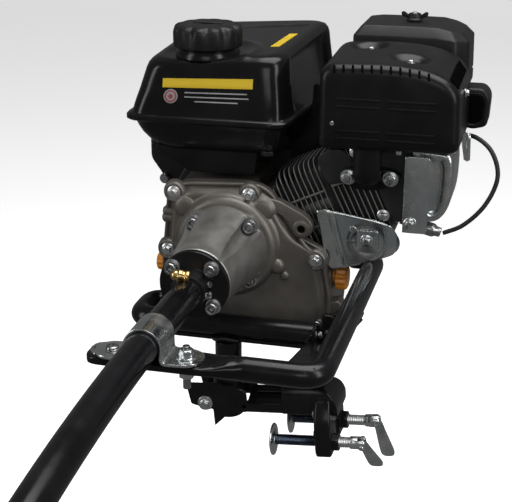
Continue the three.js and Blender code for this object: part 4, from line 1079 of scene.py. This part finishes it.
def makeRail():  # the section turns from a flat oval into a round bar as it leaves the strap
    y, z, radius, railX, back = (frameLine[key] for key in ("y", "z", "bar", "railX", "back"))
    x = np.concatenate([[-62, -61.6, -60.4, -58, -54], np.arange(-50, 56, 4.0), np.arange(56, 97, 2.0)])
    half = np.interp(x, [-62, -61.6, -60.4, -58, -54, -48, 54, 72, 92], [6, 9.5, 13, 16.5, 18.8, 20, 19.5,
            16, 12])
    thick = np.interp(x, [-62, -61.6, -60, -50, 54, 66, 78, 92], [2.6, 3.6, 4.4, 4.6, 4.6, 6.4, 10, 12])
    power = np.interp(x, [-62, 52, 86], [0.35, 0.35, 1.0])
    turn = np.linspace(0, 2 * pi, 56, endpoint=False)
    c, s = np.cos(turn), np.sin(turn)
    wide = np.sign(c) * np.abs(c) ** power[:, None] * half[:, None]
    tall = np.sign(s) * np.abs(s) ** power[:, None] * thick[:, None]
    flat = np.stack([np.repeat(x[:, None], 56, 1), y + wide, z + tall], -1)
    bend = routed([(96, y, z), (railX, y, z), (railX, back, z), (frameLine["end"], back, z)],
                  frameLine["bend"], 2.5)
    tangent = np.gradient(bend, axis=0)
    tangent /= np.linalg.norm(tangent, axis=1)[:, None]
    side = np.cross(np.array([0, 0, 1.0]), tangent)
    girth = radius * (1 - 0.35 * np.clip((np.arange(len(bend)) - len(bend) + 3) / 3, 0, 1) ** 2)
    tube = bend[:, None] + girth[:, None, None] * (c[None, :, None] * side[:, None] + s[None, :, None]
        * np.array([0, 0, 1.0]))
    points = np.concatenate([flat, tube[1:]])
    skins = [gridSkin(points, finish="glossEnamel")]
    skins += [moved([lathe([(3, -2), (14.5, -2), (14.5, 0), (13.8, 1), (8.6, 1.2), (3, 1.2)], 44,
            "zincPlate")], at=(-46, y, z + 5))[0]]
    # the tab's hole is a black disc of painted shade
    skins += [moved([lathe([(0.5, 0), (4.4, 0), (4.4, 0.5), (0.5, 0.5)], 24, "voidBlack")],
                    at=(-52, y - 2, z + 6.1))[0]]
    for angle in (0.4, 1.0):
        skins.append(weldBead([(140 + 5 * angle, y - 11.5 + 4 * angle, z + 3 * angle),
                (152, y - 9 + 3 * angle, z + 6), (160, y - 2, z + 9)], 1.4))
    makePiece("frameRail", skins, "motor", ["frame_rail"], sharp=50)


def makeBed():
    cross = routed([(112, -6, -93), (-105, -6, -93), (-105, 46, -93), (-87, 46, -93)], 17, 3)
    skins = [pipeSkin(cross, 13, 44, "glossEnamel", bevel=2.5)]
    skins.append(slab(box2(-112, 132, -10, 108), 6, 6, 120, soft(-112, -106.4, 1.6), "xy", "glossEnamel"))
    skins.append(slab([(108, -104), (136, -104), (164, -62), (132, -62), (118, -78)], [4, 8, 4, 5, 5], 7,
                      90, soft(-12, 2, 1.8), "xz", "glossEnamel"))
    rows = []  # a flat gusset from under the crossbar's end up to the front bar
    for t in np.linspace(0, 1, 24):
        left, right = 101 + 21 * t, 128 + 21 * t
        flat = evenly(roundedLoop(box2(left, right, -104 + 74 * t, -99 + 74 * t), 1.8, 5), 40)
        rows.append(np.stack([flat[:, 0], np.full(40, -10 - 235 * t), flat[:, 1]], -1))
    skins.append(gridSkin(np.array(rows), finish="glossEnamel"))
    skins.append(slab(box2(117, 131, -111, -64), 3, 5, 60, soft(-17, -8, 1.4), "xz", "glossEnamel"))
    for x in (-80, 88):
        skins.append(slab([(-12, -110), (6, -110), (6, -98), (-3, -96), (-12, -100)], 2, 4, 40,
                          soft(x, x + 8, 1), "yz", "glossEnamel"))
    for x, z in ((116, -90), (122, -84)):
        skins += aimed([lathe([(0.5, 0), (4.2, 0), (4.2, 3), (3, 4.4), (0.5, 4.6)], 28, "steelDark")],
                       (-0.3, -1, 0.2), (x, -12.4, z))
    turn = np.linspace(0, 2 * pi, 90)
    ring = np.stack([4 + 17.2 * np.cos(turn), -3 + 17.2 * np.sin(turn),
                     -104 - 6.0 * np.abs(np.cos(turn))], -1)
    makePiece("engineBed", skins, "motor", ["engine_bed"], sharp=50)
    makePiece("bedWelds", [weldBead(ring[10:-10], 2.4),
            weldBead([(100, -18, -99), (104, -19.2, -92), (108, -17, -84), (110, -10, -80)], 2.2),
                           weldBead([(137, -12.5, -100), (150, -12.5, -82), (162, -12.5, -66)], 1.6)],
                               "motor", finish="glossEnamel", sharp=80)
    post = moved([lathe([(9, -150), (15.1, -150), (15.5, -149.4), (15.5, -113), (15, -112.4),
                         (8, -112.4)], 64, "glossEnamel")], at=(4, -3, 0))
    makePiece("steeringPost", post, "motor", ["steering_post"])


def makeStrap():  # one pressed strip: foot, rise, over the tube, down, foot
    y, half = -262, 20
    radius = tubeRun["radius"] + 0.35
    turn = np.linspace(pi, 0, 48)
    inner = np.stack([radius * np.cos(turn), radius * np.sin(turn)], -1)
    foot = lambda s: np.array([(s * 54, -16.4), (s * 40, -16.4), (s * (radius + 6), -16.4),
            (s * (radius + 2.2), -15.6), (s * (radius + 0.5), -13), (s * radius, -9), (s * radius, -4)])
    line = along(np.pad(np.concatenate([foot(-1), inner, foot(1)[::-1]]), ((0, 0), (0, 1))), 1.2)[:, :2]
    tangent = np.gradient(line, axis=0)
    tangent /= np.linalg.norm(tangent, axis=1)[:, None]
    out = np.stack([-tangent[:, 1], tangent[:, 0]], -1)
    reach = np.abs(line[:, 0])
    width = np.where(reach > 36, half * np.sqrt(np.clip(1 - ((reach - 36) / 18.3) ** 2, 0.004, 1)),
                     half) * np.where(reach > 36, 0.94, 1.0)
    width = np.where((reach > 24) & (reach <= 36), half * np.interp(reach, [24, 36], [1.0, 0.94]), width)
    rows = []
    for side, depth in ((-1.0, 0.5), (-0.985, 0.0), (-0.6, 0.0), (0, 0.0), (0.6, 0.0), (0.985, 0.0),
                        (1.0, 0.5), (1.0, 2.3), (0.98, 2.8), (0.6, 2.8), (0, 2.8), (-0.6, 2.8),
                        (-0.98, 2.8), (-1.0, 2.3)):
        place = line + out * depth
        rows.append(np.stack([place[:, 0], y + side * width, place[:, 1]], -1))
    points = np.array(rows).transpose(1, 0, 2)
    skins = [gridSkin(points, finish="zincPlate")]
    makePiece("tubeStrap", skins, "motor", ["tube_strap"], sharp=50)
    for name, x in (("left", -37), ("right", 37)):
        if name == "left":
            head = lathe([(1, -13.4), (6.2, -13.4), (6.6, -12.4), (6.0, -10.6), (4.6, -9.8), (3.2, -9.8),
                          (3.0, -11), (1, -11)], 40, "steelDark")
            makePiece("strapBoltLeft", moved([head, rod(3.9, -40, -27, 0.7, 28, "steelDark")],
                    at=(x, y, 0)), "motor", ["strap_bolt_left"])
            continue
        bolt = [lathe([(3, -13.4), (9.6, -13.4), (9.8, -12.8), (9.8, -12.2), (9.4, -11.8), (4, -11.7)],
                      44, "zincPlate"), hexHead(13, -11.8, -5.2, "zincPlate"),
                rod(3.6, -6, -1.8, 0.7, 28, "steelDark"), rod(3.9, -46, -27, 0.7, 28, "steelDark"),
                hexHead(13, -34, -27.5, "zincPlate")]
        makePiece(f"strapBolt{name.title()}", moved(bolt, at=(x, y, 0)), "motor", [f"strap_bolt_{name}"])


makeRail()
makeBed()
makeStrap()
print("frame ready")

# ---- swivel and transom bracket
beam = {"left": 44, "notch": 92, "half": 27, "top": 20, "bottom": -12, "wall": 4}
clamp = {"side": 28, "low": -43, "rod": 6.5, "pitch": 2.2, "reach": 106}


def makeSwivel():
    body = moved([lathe([(8, -206), (16.6, -206), (17.8, -205), (18, -203.6), (18, -152), (17.6, -150.8),
                         (16.8, -150.3), (9, -150.3)], 64, "glossEnamel"),
                  rod(9, -151, -128, 0.8, 40, "steelDark")], at=(4, -3, 0))
    sleeve = aimed([lathe([(6, -21), (11.4, -21), (12, -20.2), (12, 20.2), (11.4, 21), (6, 21)], 48,
                          "glossEnamel")], (0, 1, 0), (-17, -3, -184.5))
    web = slab(box2(-17, 2, -195.5, -173.5), 1.5, 4, 48, soft(-17, 11, 1.4), "xz", "glossEnamel")
    makePiece("swivelBody", body + sleeve + [web], "swivel", ["swivel_block"])


def beamRing(grow, u):  # section of the beam with its shoulders dropping away at the far end
    b = beam
    loop = evenly(roundedLoop([(-b["half"] + grow, b["bottom"] + grow),
            (b["half"] - grow, b["bottom"] + grow), (b["half"] - grow, b["top"] - grow),
                               (-b["half"] + grow, b["top"] - grow)], [4, 4, 24, 24], 12), 120)
    drop = 30 * (1 - np.sqrt(max(0.0, 1 - (max(0.0, u - 132) / 26) ** 2)))
    z = np.minimum(loop[:, 1], np.maximum(b["top"] - drop - grow, b["bottom"] + grow) + 0
                   * loop[:, 1]) if u > 132 else loop[:, 1]
    return np.stack([np.full(120, u), loop[:, 0], z], -1)


def makeBracket():
    b = beam
    us = np.concatenate([[b["notch"], b["notch"] + 0.4], np.linspace(95, 132, 12),
                         np.linspace(134, 157, 20)])
    outer = [beamRing(0.5 if u == b["notch"] else 0.0, u) for u in us]
    inner = [beamRing(b["wall"], u) for u in (140, b["notch"] + 2, b["notch"])]
    skins = [gridSkin(np.array(outer), capStart=False, finish="glossEnamel")]
    skins.append(gridSkin(np.array([outer[0], inner[2], inner[1], inner[0]]), capStart=False,
                          finish="glossEnamel"))
    cup = [(-27, 0), (-27, -9), (-24, -12), (24, -12), (27, -9), (27, 0), (23, 0), (23, -8), (-23, -8),
           (-23, 0)]
    skins.append(plate(evenly(roundedLoop(cup, [1, 4, 4, 4, 4, 1, 1, 2, 2, 1], 5), 150),
                       [(0.6, b["left"]), (0, b["left"] + 0.6), (0, b["notch"] + 1)], "yz",
                       "glossEnamel"))
    leg = [(-43, -58), (-12, -58), (-10, -26), (10, -26), (12, -58), (43, -58), (43, -18), (30, 6),
           (22, 10), (-22, 10), (-30, 6), (-43, -18)]
    skins.append(slab(leg, [7, 7, 9, 9, 7, 7, 14, 12, 8, 8, 12, 14], 8, 260, soft(131, 150, 3.2), "yz",
                      "glossEnamel"))
    cheek = [(-22, 24), (-18, -2), (-5, -6), (8.7, -8), (8.7, -30), (31, -10), (50, -11), (50, 16),
             (40, 20), (12, 24)]
    for y0 in (-27, 22):
        skins.append(slab(cheek, [1.5, 2, 3, 2, 1.5, 6, 3, 5, 8, 3], 6, 160, soft(y0, y0 + 5, 1.2), "xz",
                          "glossEnamel"))
    for side in (-1, 1):
        nut = [lathe([(6.8, -1), (12.5, -1), (12.6, 0.4), (11.8, 1.2), (6.8, 1.3)], 40, "glossEnamel"),
               hexHead(20, 1, 8.2, "glossEnamel")]
        skins += aimed(nut, (1, 0, 0), (149.4, side * clamp["side"], clamp["low"]))
        skins.append(weldBead([(150.4, side * 26, 0), (151, side * 20, 6), (151, side * 8, 8)], 1.5))
    for y, w in ((-33, -6), (33, -6), (-34, -30), (34, -30)):
        skins += aimed([lathe([(0.5, 0), (4.2, 0), (4, 1.2), (2.6, 1.9), (0.5, 2)], 28, "steelDark")],
                       (-1, 0, 0), (131.2, y, w))
    makePiece("bracketBody", skins, "transom bracket", ["transom_bracket"], space=bracketSpace, sharp=46)
    bolt = [rod(5, -27.5, 29, 0.6, 32, "steelDark")]
    bolt = aimed(bolt, (0, 1, 0), (0, 0, 0)) + aimed(flangeBolt(9.4, "zincPlate"), (0, -1, 0),
        (0, -27.4, 0))
    bolt += aimed([lathe([(5, 0), (9, 0), (9, 1.2), (5, 1.3)], 32, "zincPlate"),
                   hexHead(15, 1.2, 6.6, "zincPlate")], (0, 1, 0), (0, 27.4, 0))
    makePiece("tiltBolt", bolt, "transom bracket", ["tilt_bolt"], space=bracketSpace)


def threaded(radius, low, high, pitch, finish):  # radius follows a sine wave along a helix
    count = 40
    heights = np.arange(low, high, pitch / 7)
    turn = np.linspace(0, 2 * pi, count, endpoint=False)
    ends = np.clip(np.minimum(heights - low, high - heights) / 1.5, 0, 1)[:, None]
    wave = radius - 0.42 + ends * 0.4 * np.sin(2 * pi * heights[:, None] / pitch - turn[None])
    points = np.stack([wave * np.cos(turn), wave * np.sin(turn), np.repeat(heights[:, None], count, 1)],
                      -1)
    return gridSkin(points, finish=finish)


def makeClamp(name, side, padFace, turned):
    start, end = padFace + 5, padFace + clamp["reach"]
    at = (0, side * clamp["side"], clamp["low"])
    spin = turnAboutX(turned)
    title = name.title()
    pad = [lathe([(2, padFace), (13, padFace), (17, padFace + 0.2), (18.6, padFace + 0.8),
                  (19, padFace + 1.6), (18.4, padFace + 2.6), (15, padFace + 2.9),
                  (11.6, padFace + 3.2), (10, padFace + 3.8), (9.2, padFace + 4.8), (4, padFace + 5)], 72,
                  "zincPlate"),
           lathe([(0.5, padFace - 0.1), (5, padFace - 0.12), (5.6, padFace + 0.4), (0.5, padFace + 0.4)],
                 32, "steelDark")]
    makePiece(f"pad{title}", aimed(pad, (1, 0, 0), at), f"{name} pad", [f"clamp_pad_{name}"],
              space=bracketSpace)
    rodSkins = [threaded(clamp["rod"], start + 0.4, 152, clamp["pitch"], "bluedSteel"),
                threaded(clamp["rod"] + 0.02, 151, end - 9, clamp["pitch"], "zincPlate")]
    fork = circle(1.0, 48)
    rows = []
    for u, r in ((end - 10, 4), (end - 10, 7.2), (end - 9.6, 7.5), (end + 1, 7.5), (end + 3, 6.6),
                 (end + 4, 5.0), (end + 4, 1)):
        rows.append(np.stack([fork[:, 0] * r, fork[:, 1] * r, np.full(48, u)], -1))
    lobes = []
    for half in (-1, 1):  # the fork's two cheeks keep to their own side of the slot
        cheek = np.array(rows)
        cheek[..., 1] = half * np.maximum(half * cheek[..., 1], 2.5)
        lobes.append(gridSkin(cheek, finish="zincPlate"))
    collar = rod(7.4, end - 14, end - 5, 0.8, 48, "zincPlate")
    pivot = aimed([rod(2.4, -8.6, 8.6, 0.6, 28, "polishedSteel"),
                   lathe([(0.5, -8.8), (3.6, -8.8), (3.8, -8.2), (3.4, -7.4), (0.5, -7.4)], 28,
                         "polishedSteel")], (0, 1, 0), (end, 0, 0))
    body = moved([(s[0][:, [2, 1, 0]] * np.array([1, 1, -1]), s[1], s[2], s[3]) for s in lobes], spin, at)
    makePiece(f"screw{title}", aimed(rodSkins + [collar], (1, 0, 0), at) + body + moved(pivot, spin, at),
              f"{name} screw", [f"clamp_screw_{name}"],
              space=bracketSpace, finish="zincPlate")
    outline = [(end - 4.5, 1), (end + 0.5, 4.6), (end + 5, 0.5), (end + 9, -12), (end + 19.4, -40),
               (end + 18, -46), (end + 4.4, -46), (end + 1.6, -38), (end - 3.4, -5)]
    paddle = slab(outline, [4, 5, 5, 8, 6, 6, 6, 8, 4], 8, 140, soft(-2, 2, 0.9), "xz", "zincSheet")
    makePiece(f"handle{title}", moved([paddle], spin, at), f"{name} handle", [f"clamp_handle_{name}"],
              space=bracketSpace)


makeSwivel()
makeBracket()
makeClamp("near", -1, 78, 0.5)
makeClamp("far", 1, 86, 0.0)
print("bracket ready")

# ---- ignition lead and plug
lead = {"points": [(238.6, 70, 14.6), (260, 72, 25), (284, 76, 51), (295, 80, 84), (286, 86, 110),
                   (268, 96, 122), (244, 116, 119), (206, 130, 106), (164.6, 132, 90)],
        "diameter": 5.2}


def smoothPath(points, steps=16):
    # a curve through every point, its speed taken from the neighbours' spacing
    p = np.array(points, float)
    p = np.vstack([2 * p[0] - p[1], p, 2 * p[-1] - p[-2]])
    t = np.linspace(0, 1, steps, endpoint=False)[:, None]
    out = []
    for k in range(1, len(p) - 2):
        gaps = [max(np.linalg.norm(p[k + j + 1] - p[k + j]) ** 0.5, 1e-6) for j in (-1, 0, 1)]
        m1 = (p[k + 1] - p[k]) + gaps[1] * ((p[k] - p[k - 1]) / gaps[0] - (p[k + 1] - p[k - 1])
            / (gaps[0] + gaps[1]))
        m2 = (p[k + 1] - p[k]) + gaps[1] * ((p[k + 2] - p[k + 1]) / gaps[2] - (p[k + 2] - p[k])
            / (gaps[1] + gaps[2]))
        out.append(p[k] + m1 * t + (-3 * p[k] + 3 * p[k + 1] - 2 * m1 - m2) * t ** 2
                   + (2 * p[k] - 2 * p[k + 1] + m1 + m2) * t ** 3)
    return np.vstack(out + [p[-2][None]])


def makeLead():
    path = smoothPath(lead["points"])
    path = along(path, 2)
    tube = pipeSkin(path, lead["diameter"] / 2, 24, "rubberBlack", up=(0.1, 1, 0.05), bevel=0.4)
    piece = makePiece("ignitionLead", [tube], "motor", ["ignition_lead"])
    boot = [lathe([(3, -1), (7.4, -1), (8, 0), (8, 14), (7.4, 16), (6, 18), (5.4, 23.4), (3.6, 24)], 48,
                  "steelDark"),
            lathe([(3, -24), (5, -24), (5, -3), (6.5, -1), (3, -1)], 36, "machined"),
            hexHead(15, -6, -1.2, "zincPlate")]
    makePiece("plugCap", aimed(boot, (cos(0.25), 0, -sin(0.25)), (213, 70, 21)), "motor",
              ["spark_plug_cap"])


makeLead()
print("lead ready")

# ---- blower housing, recoil starter and its grip
blower = {"front": 112.3, "back": 190, "slots": 24}


def makeBlower():
    drum = aimed([lathe([(40, blower["front"]), (97, blower["front"]), (100, blower["front"] + 1),
                         (101, blower["front"] + 4), (100.4, 140), (99, 180), (98, 186), (95, 189.4),
                         (90, 190), (72, 190)],
                        120, "satinPaint")], (0, 1, 0), (0, 0, 0))
    lean = turnAboutY(-cylinderLean)
    scroll = slab(box2(88, 118, -52, 50), 12, 8, 120, soft(112.3, 176, 6), "xz", "satinPaint")
    duct = slab(box2(88, 186, -52, 58), 8, 8, 140, soft(112.3, 128, 4), "xz", "satinPaint")
    loop = evenly(roundedLoop([(-127, 92), (-127, 66), (-104, 34), (-80, 34), (-80, 92)], [4, 6, 5, 3, 4],
            8), 120)
    box = plate(loop, soft(114, 158, 4), "xz", "grainedPlastic")
    flange = [aimed(flangeBolt(7, "zincPlate"), (0, -1, 0), (98 * np.cos(a), 113.5, 98 * np.sin(a)))
              for a in (3.6, 4.4)]
    makePiece("blowerShell", drum + moved([scroll, duct], lean) + [box] + [b for f in flange for b in f],
              "motor", ["blower_housing"])


def makeRecoil():  # a shallow dome with a ring of slots and a guide for the rope
    y = blower["back"] + 0.3
    dome = aimed([lathe([(60, y), (87.4, y), (88, y + 1), (88, y + 9), (87, y + 12), (84, y + 18),
                         (79, y + 26), (74, y + 31), (64, y + 37), (56, y + 41), (50, y + 43.2),
                         (44, y + 44.4),
                         (42, y + 43.4), (36, y + 43.2), (33, y + 45.4), (20, y + 46.6), (6, y + 47)],
                         128, "satinPaint")], (0, 1, 0), (0, 0, 0))
    slots = []
    for k in range(blower["slots"]):
        turn = k * 2 * pi / blower["slots"]
        # each slot is a black patch of painted shade
        slot = plate(roundedLoop(box2(-11, 11, -2.6, 2.6), 2.4, 6), [(0.6, -0.5), (0, 0.15), (0.3, 0.3)],
                     "xy", "voidBlack")
        slots += aimed([slot], (cos(turn) * 0.52, 0.85, sin(turn) * 0.52), (68.5 * cos(turn), y + 34.6,
                68.5 * sin(turn)), roll=0)
    guide = slab(box2(-98, -70, 22, 46), 5, 6, 80, soft(196, 216, 3), "xz", "satinPaint")
    eye = aimed([lathe([(4, -1), (8, -1), (8.6, 0), (8, 1.2), (5, 1.6), (4.4, 0)], 40, "polishedSteel")],
                (-1, 0, 0), (-98, 206, 34))
    bolts = [aimed(flangeBolt(6.6, "zincPlate"), (0, 1, 0), (81 * cos(a), y + 11, 81 * sin(a)), 0)
             for a in (0.6, 2.6, 4.7)]
    makePiece("recoilDome", dome + slots + [guide] + eye + [b for group in bolts for b in group], "motor",
              ["recoil_cover"])
    bar = aimed([lathe([(3, 182), (5.6, 182), (7, 184), (7.2, 190), (6.6, 198), (6.4, 206), (6.6, 214),
                        (7.2, 222), (7, 228), (5.6, 230), (3, 230)], 48, "rubberBlack")], (0, 1, 0),
                (-110, 0, 34))
    stem = aimed([lathe([(2, 0), (5, 0), (4.6, 5), (3.6, 9), (3.0, 11.4), (1.6, 11.5)], 36,
                        "rubberBlack")], (1, 0, 0), (-110, 206, 34))
    makePiece("recoilHandle", bar + stem, "recoil grip", ["recoil_grip"])


def makeFuelSide():  # carburettor body, bowl, levers and dipsticks
    body = [slab(box2(150, 192, 130, 172), 5, 6, 80, soft(113, 149.6, 2.4), "xy", "machined"),
            moved([lathe([(4, 96), (11, 96), (13.6, 97.4), (14, 99), (14, 110), (15, 111), (15, 113)], 64,
                         "machined"), rod(4, 92, 97, 0.8, 24, "brassTurned")], at=(172, 150, 0))[0]]
    body += aimed([rod(9, 140, 151, 0.8, 40, "machined")], (1, 0, 0), (0, 150, 130))
    makePiece("carburettorBody", body, "motor", ["carburettor"])
    lever = slab([(79, 130), (89, 130), (90, 112), (84, 96), (78, 112)], 2.5, 6, 80,
                 soft(258.3, 260.8, 0.6), "yz", "zincPlate")
    makePiece("throttleArm", [lever] + aimed([lathe([(0.5, 0), (3.6, 0), (3.4, 1.6), (0.5, 1.8)], 24,
            "zincPlate")], (1, 0, 0), (260.6, 84, 124)), "throttle", ["throttle_lever"])
    arm = slab([(148, 136), (158, 136), (184, 131), (184, 125), (150, 124)], 2.5, 6, 80,
               soft(192.3, 195, 0.8), "yz", "grainedPlastic")
    makePiece("chokeArm", [arm], "choke", ["choke_lever"])
    arm = slab([(145, 136), (155, 136), (153, 106), (147, 106)], 2.2, 6, 80, soft(137, 139.7, 0.8), "yz",
               "grainedPlastic")
    makePiece("cockArm", [arm], "fuel cock", ["fuel_cock_lever"])
    knob = aimed([lathe([(0.5, 0), (6, 0), (6.5, 0.8), (6.5, 4), (5.4, 5.4), (4.8, 6.4), (0.5, 6.5)], 40,
                        "steelDark")], (0, -1, 0), (-108, 113.6, 42))
    makePiece("stopKnob", knob, "stop switch", ["stop_switch"])
    for name, side, x, r in (("left", -1, -81.8, 11), ("right", 1, 121.8, 14)):
        turn = np.linspace(0, 2 * pi, 96, endpoint=False)
        rows = []
        for radius, h, rib in ((8.2, -19, 0), (8.2, -0.2, 0), (r * 0.9, 0, 0), (r, 0.8, 1), (r, 10.5, 1),
            (r * 0.95, 12.6, 1), (r * 0.8, 13.8, 0), (r * 0.45, 14.1, 0), (1, 14.1, 0)):
            wide = radius * (1 + rib * 0.05 * np.sin(turn * 12))
            rows.append(np.stack([wide * np.cos(turn), wide * np.sin(turn), np.full(96, h)], -1))
        grip = slab(box2(-r * 0.75, r * 0.75, -2.4, 2.4), 2, 5, 50, soft(12.4, 15.6, 1.2), "xy",
                    "amberPlastic")
        makePiece(f"dipstick{name.title()}", aimed([gridSkin(np.array(rows), finish="amberPlastic"),
                moved([grip], at=(0, 0, -2.4))[0]], (side, 0, 0), (x, 44, -40)),
                  f"{name} dipstick", [f"dipstick_{name}"], finish="amberPlastic")


makeBlower()
makeRecoil()
makeFuelSide()
print("blower and controls ready")

# ---- tail: bearing, propeller, fin and plate
tail = {"blades": 3, "root": 15, "tip": 89}


def makeTail():
    sleeve = aimed([lathe([(9, -24), (20.4, -24), (21, -23.2), (21, 27), (21.6, 29), (23, 30), (23, 31),
            (20, 50), (17.4, 64), (16.6, 65.6), (9, 66)], 72, "satinPaint")], (0, -1, 0), (0, 0, 0))
    screws = [s for a in (0.6, 2.2, 3.8, 5.4) for s in aimed(flangeBolt(4.4, "zincPlate"),
            (cos(a), 0, sin(a)), (20.6 * cos(a), 8, 20.6 * sin(a)))]
    makePiece("bearingSleeve", sleeve + screws, "motor", ["propeller_bearing"], space=tailSpace)
    hub = aimed([lathe([(8, 66.4), (21.4, 66.4), (22, 67.4), (21.4, 76), (19, 96), (16, 112), (13, 120),
                        (8, 123.4), (3, 124)], 72, "machined"), hexHead(13, 122, 129, "brassTurned"),
                 rod(8, 16, 70, 0.6, 32, "polishedSteel")],
                (0, -1, 0), (0, 0, 0))
    blades = []
    span = np.linspace(0, 1, 26)
    chordAt = np.interp(span, [0, 0.15, 0.45, 0.7, 0.9, 1.0], [28, 36, 50, 46, 30, 8])
    pitchAt = np.arctan(np.interp(span, [0, 1], [1.5, 0.52]))
    turn = np.linspace(0, 2 * pi, 40, endpoint=False)
    for k in range(tail["blades"]):
        rows = []
        for s, chord, pitch in zip(span, chordAt, pitchAt):
            radius = tail["root"] + s * (tail["tip"] - tail["root"])
            along2 = np.cos(turn) * chord / 2
            thick = np.sin(turn) * (1.9 - 1.2 * s) * np.sqrt(np.clip(1 - (np.cos(turn) * 0.85) ** 2, 0.05,
                    1)) + 1.6 * (1 - np.cos(turn) ** 2)
            across = along2 * cos(pitch) - thick * sin(pitch) + 5 * s
            axial = along2 * sin(pitch) + thick * cos(pitch)
            angle = across / max(radius, 24)
            rows.append(np.stack([radius * np.sin(angle), -92 - axial * 0.62, radius * np.cos(angle)],
                    -1))
        blade = gridSkin(np.array(rows), finish="polishedSteel")
        blades += moved([blade], turnAboutY(k * 2 * pi / tail["blades"]))
    makePiece("propellerWheel", hub + blades, "propeller", ["propeller"], space=tailSpace, sharp=50)
    fin = [(20, -21.6), (-24, -22), (-70, -62), (-84, -122), (-66, -122), (-14, -60)]
    makePiece("skegFin", [slab(fin, [2, 8, 14, 4, 6, 14], 8, 140, soft(-2.5, 2.5, 1.6), "yz",
            "satinPaint")], "motor", ["skeg"], space=tailSpace)
    top = slab([(-40, -150), (40, -150), (62, -128), (62, -42), (40, -20), (-40, -20), (-62, -42),
                (-62, -128)], 14, 8, 200, soft(104, 108, 1.2), "xy", "satinPaint")
    stay = slab([(14, 21.6), (-28, 23.4), (-60, 105), (-24, 105)], [3, 3, 1, 1], 6, 100, soft(-3, 3, 1.2),
                "yz", "satinPaint")
    makePiece("cavitationPlate", [top, stay], "motor", ["anti_ventilation_plate"], space=tailSpace)


makeTail()
print("tail ready")

# ---- the remaining solids take procedural finishes too
looks = {"gloss_black": "glossEnamel", "satin_black": "satinPaint", "black_plastic": "grainedPlastic",
         "casting": "castPaint", "bright_casting": "machined",
         "dark_casting": "finBlack", "zinc": "zincPlate", "steel": "steelDark", "brass": "brassTurned",
         "orange_plastic": "amberPlastic", "rubber": "rubberBlack"}
for thing in list(bpy.context.scene.objects):
    if thing.type != "MESH":
        continue
    for place in thing.material_slots:
        label = place.material.name.split(".")[0] if place.material else ""
        if label in looks:
            place.material = finishes[looks[label]]
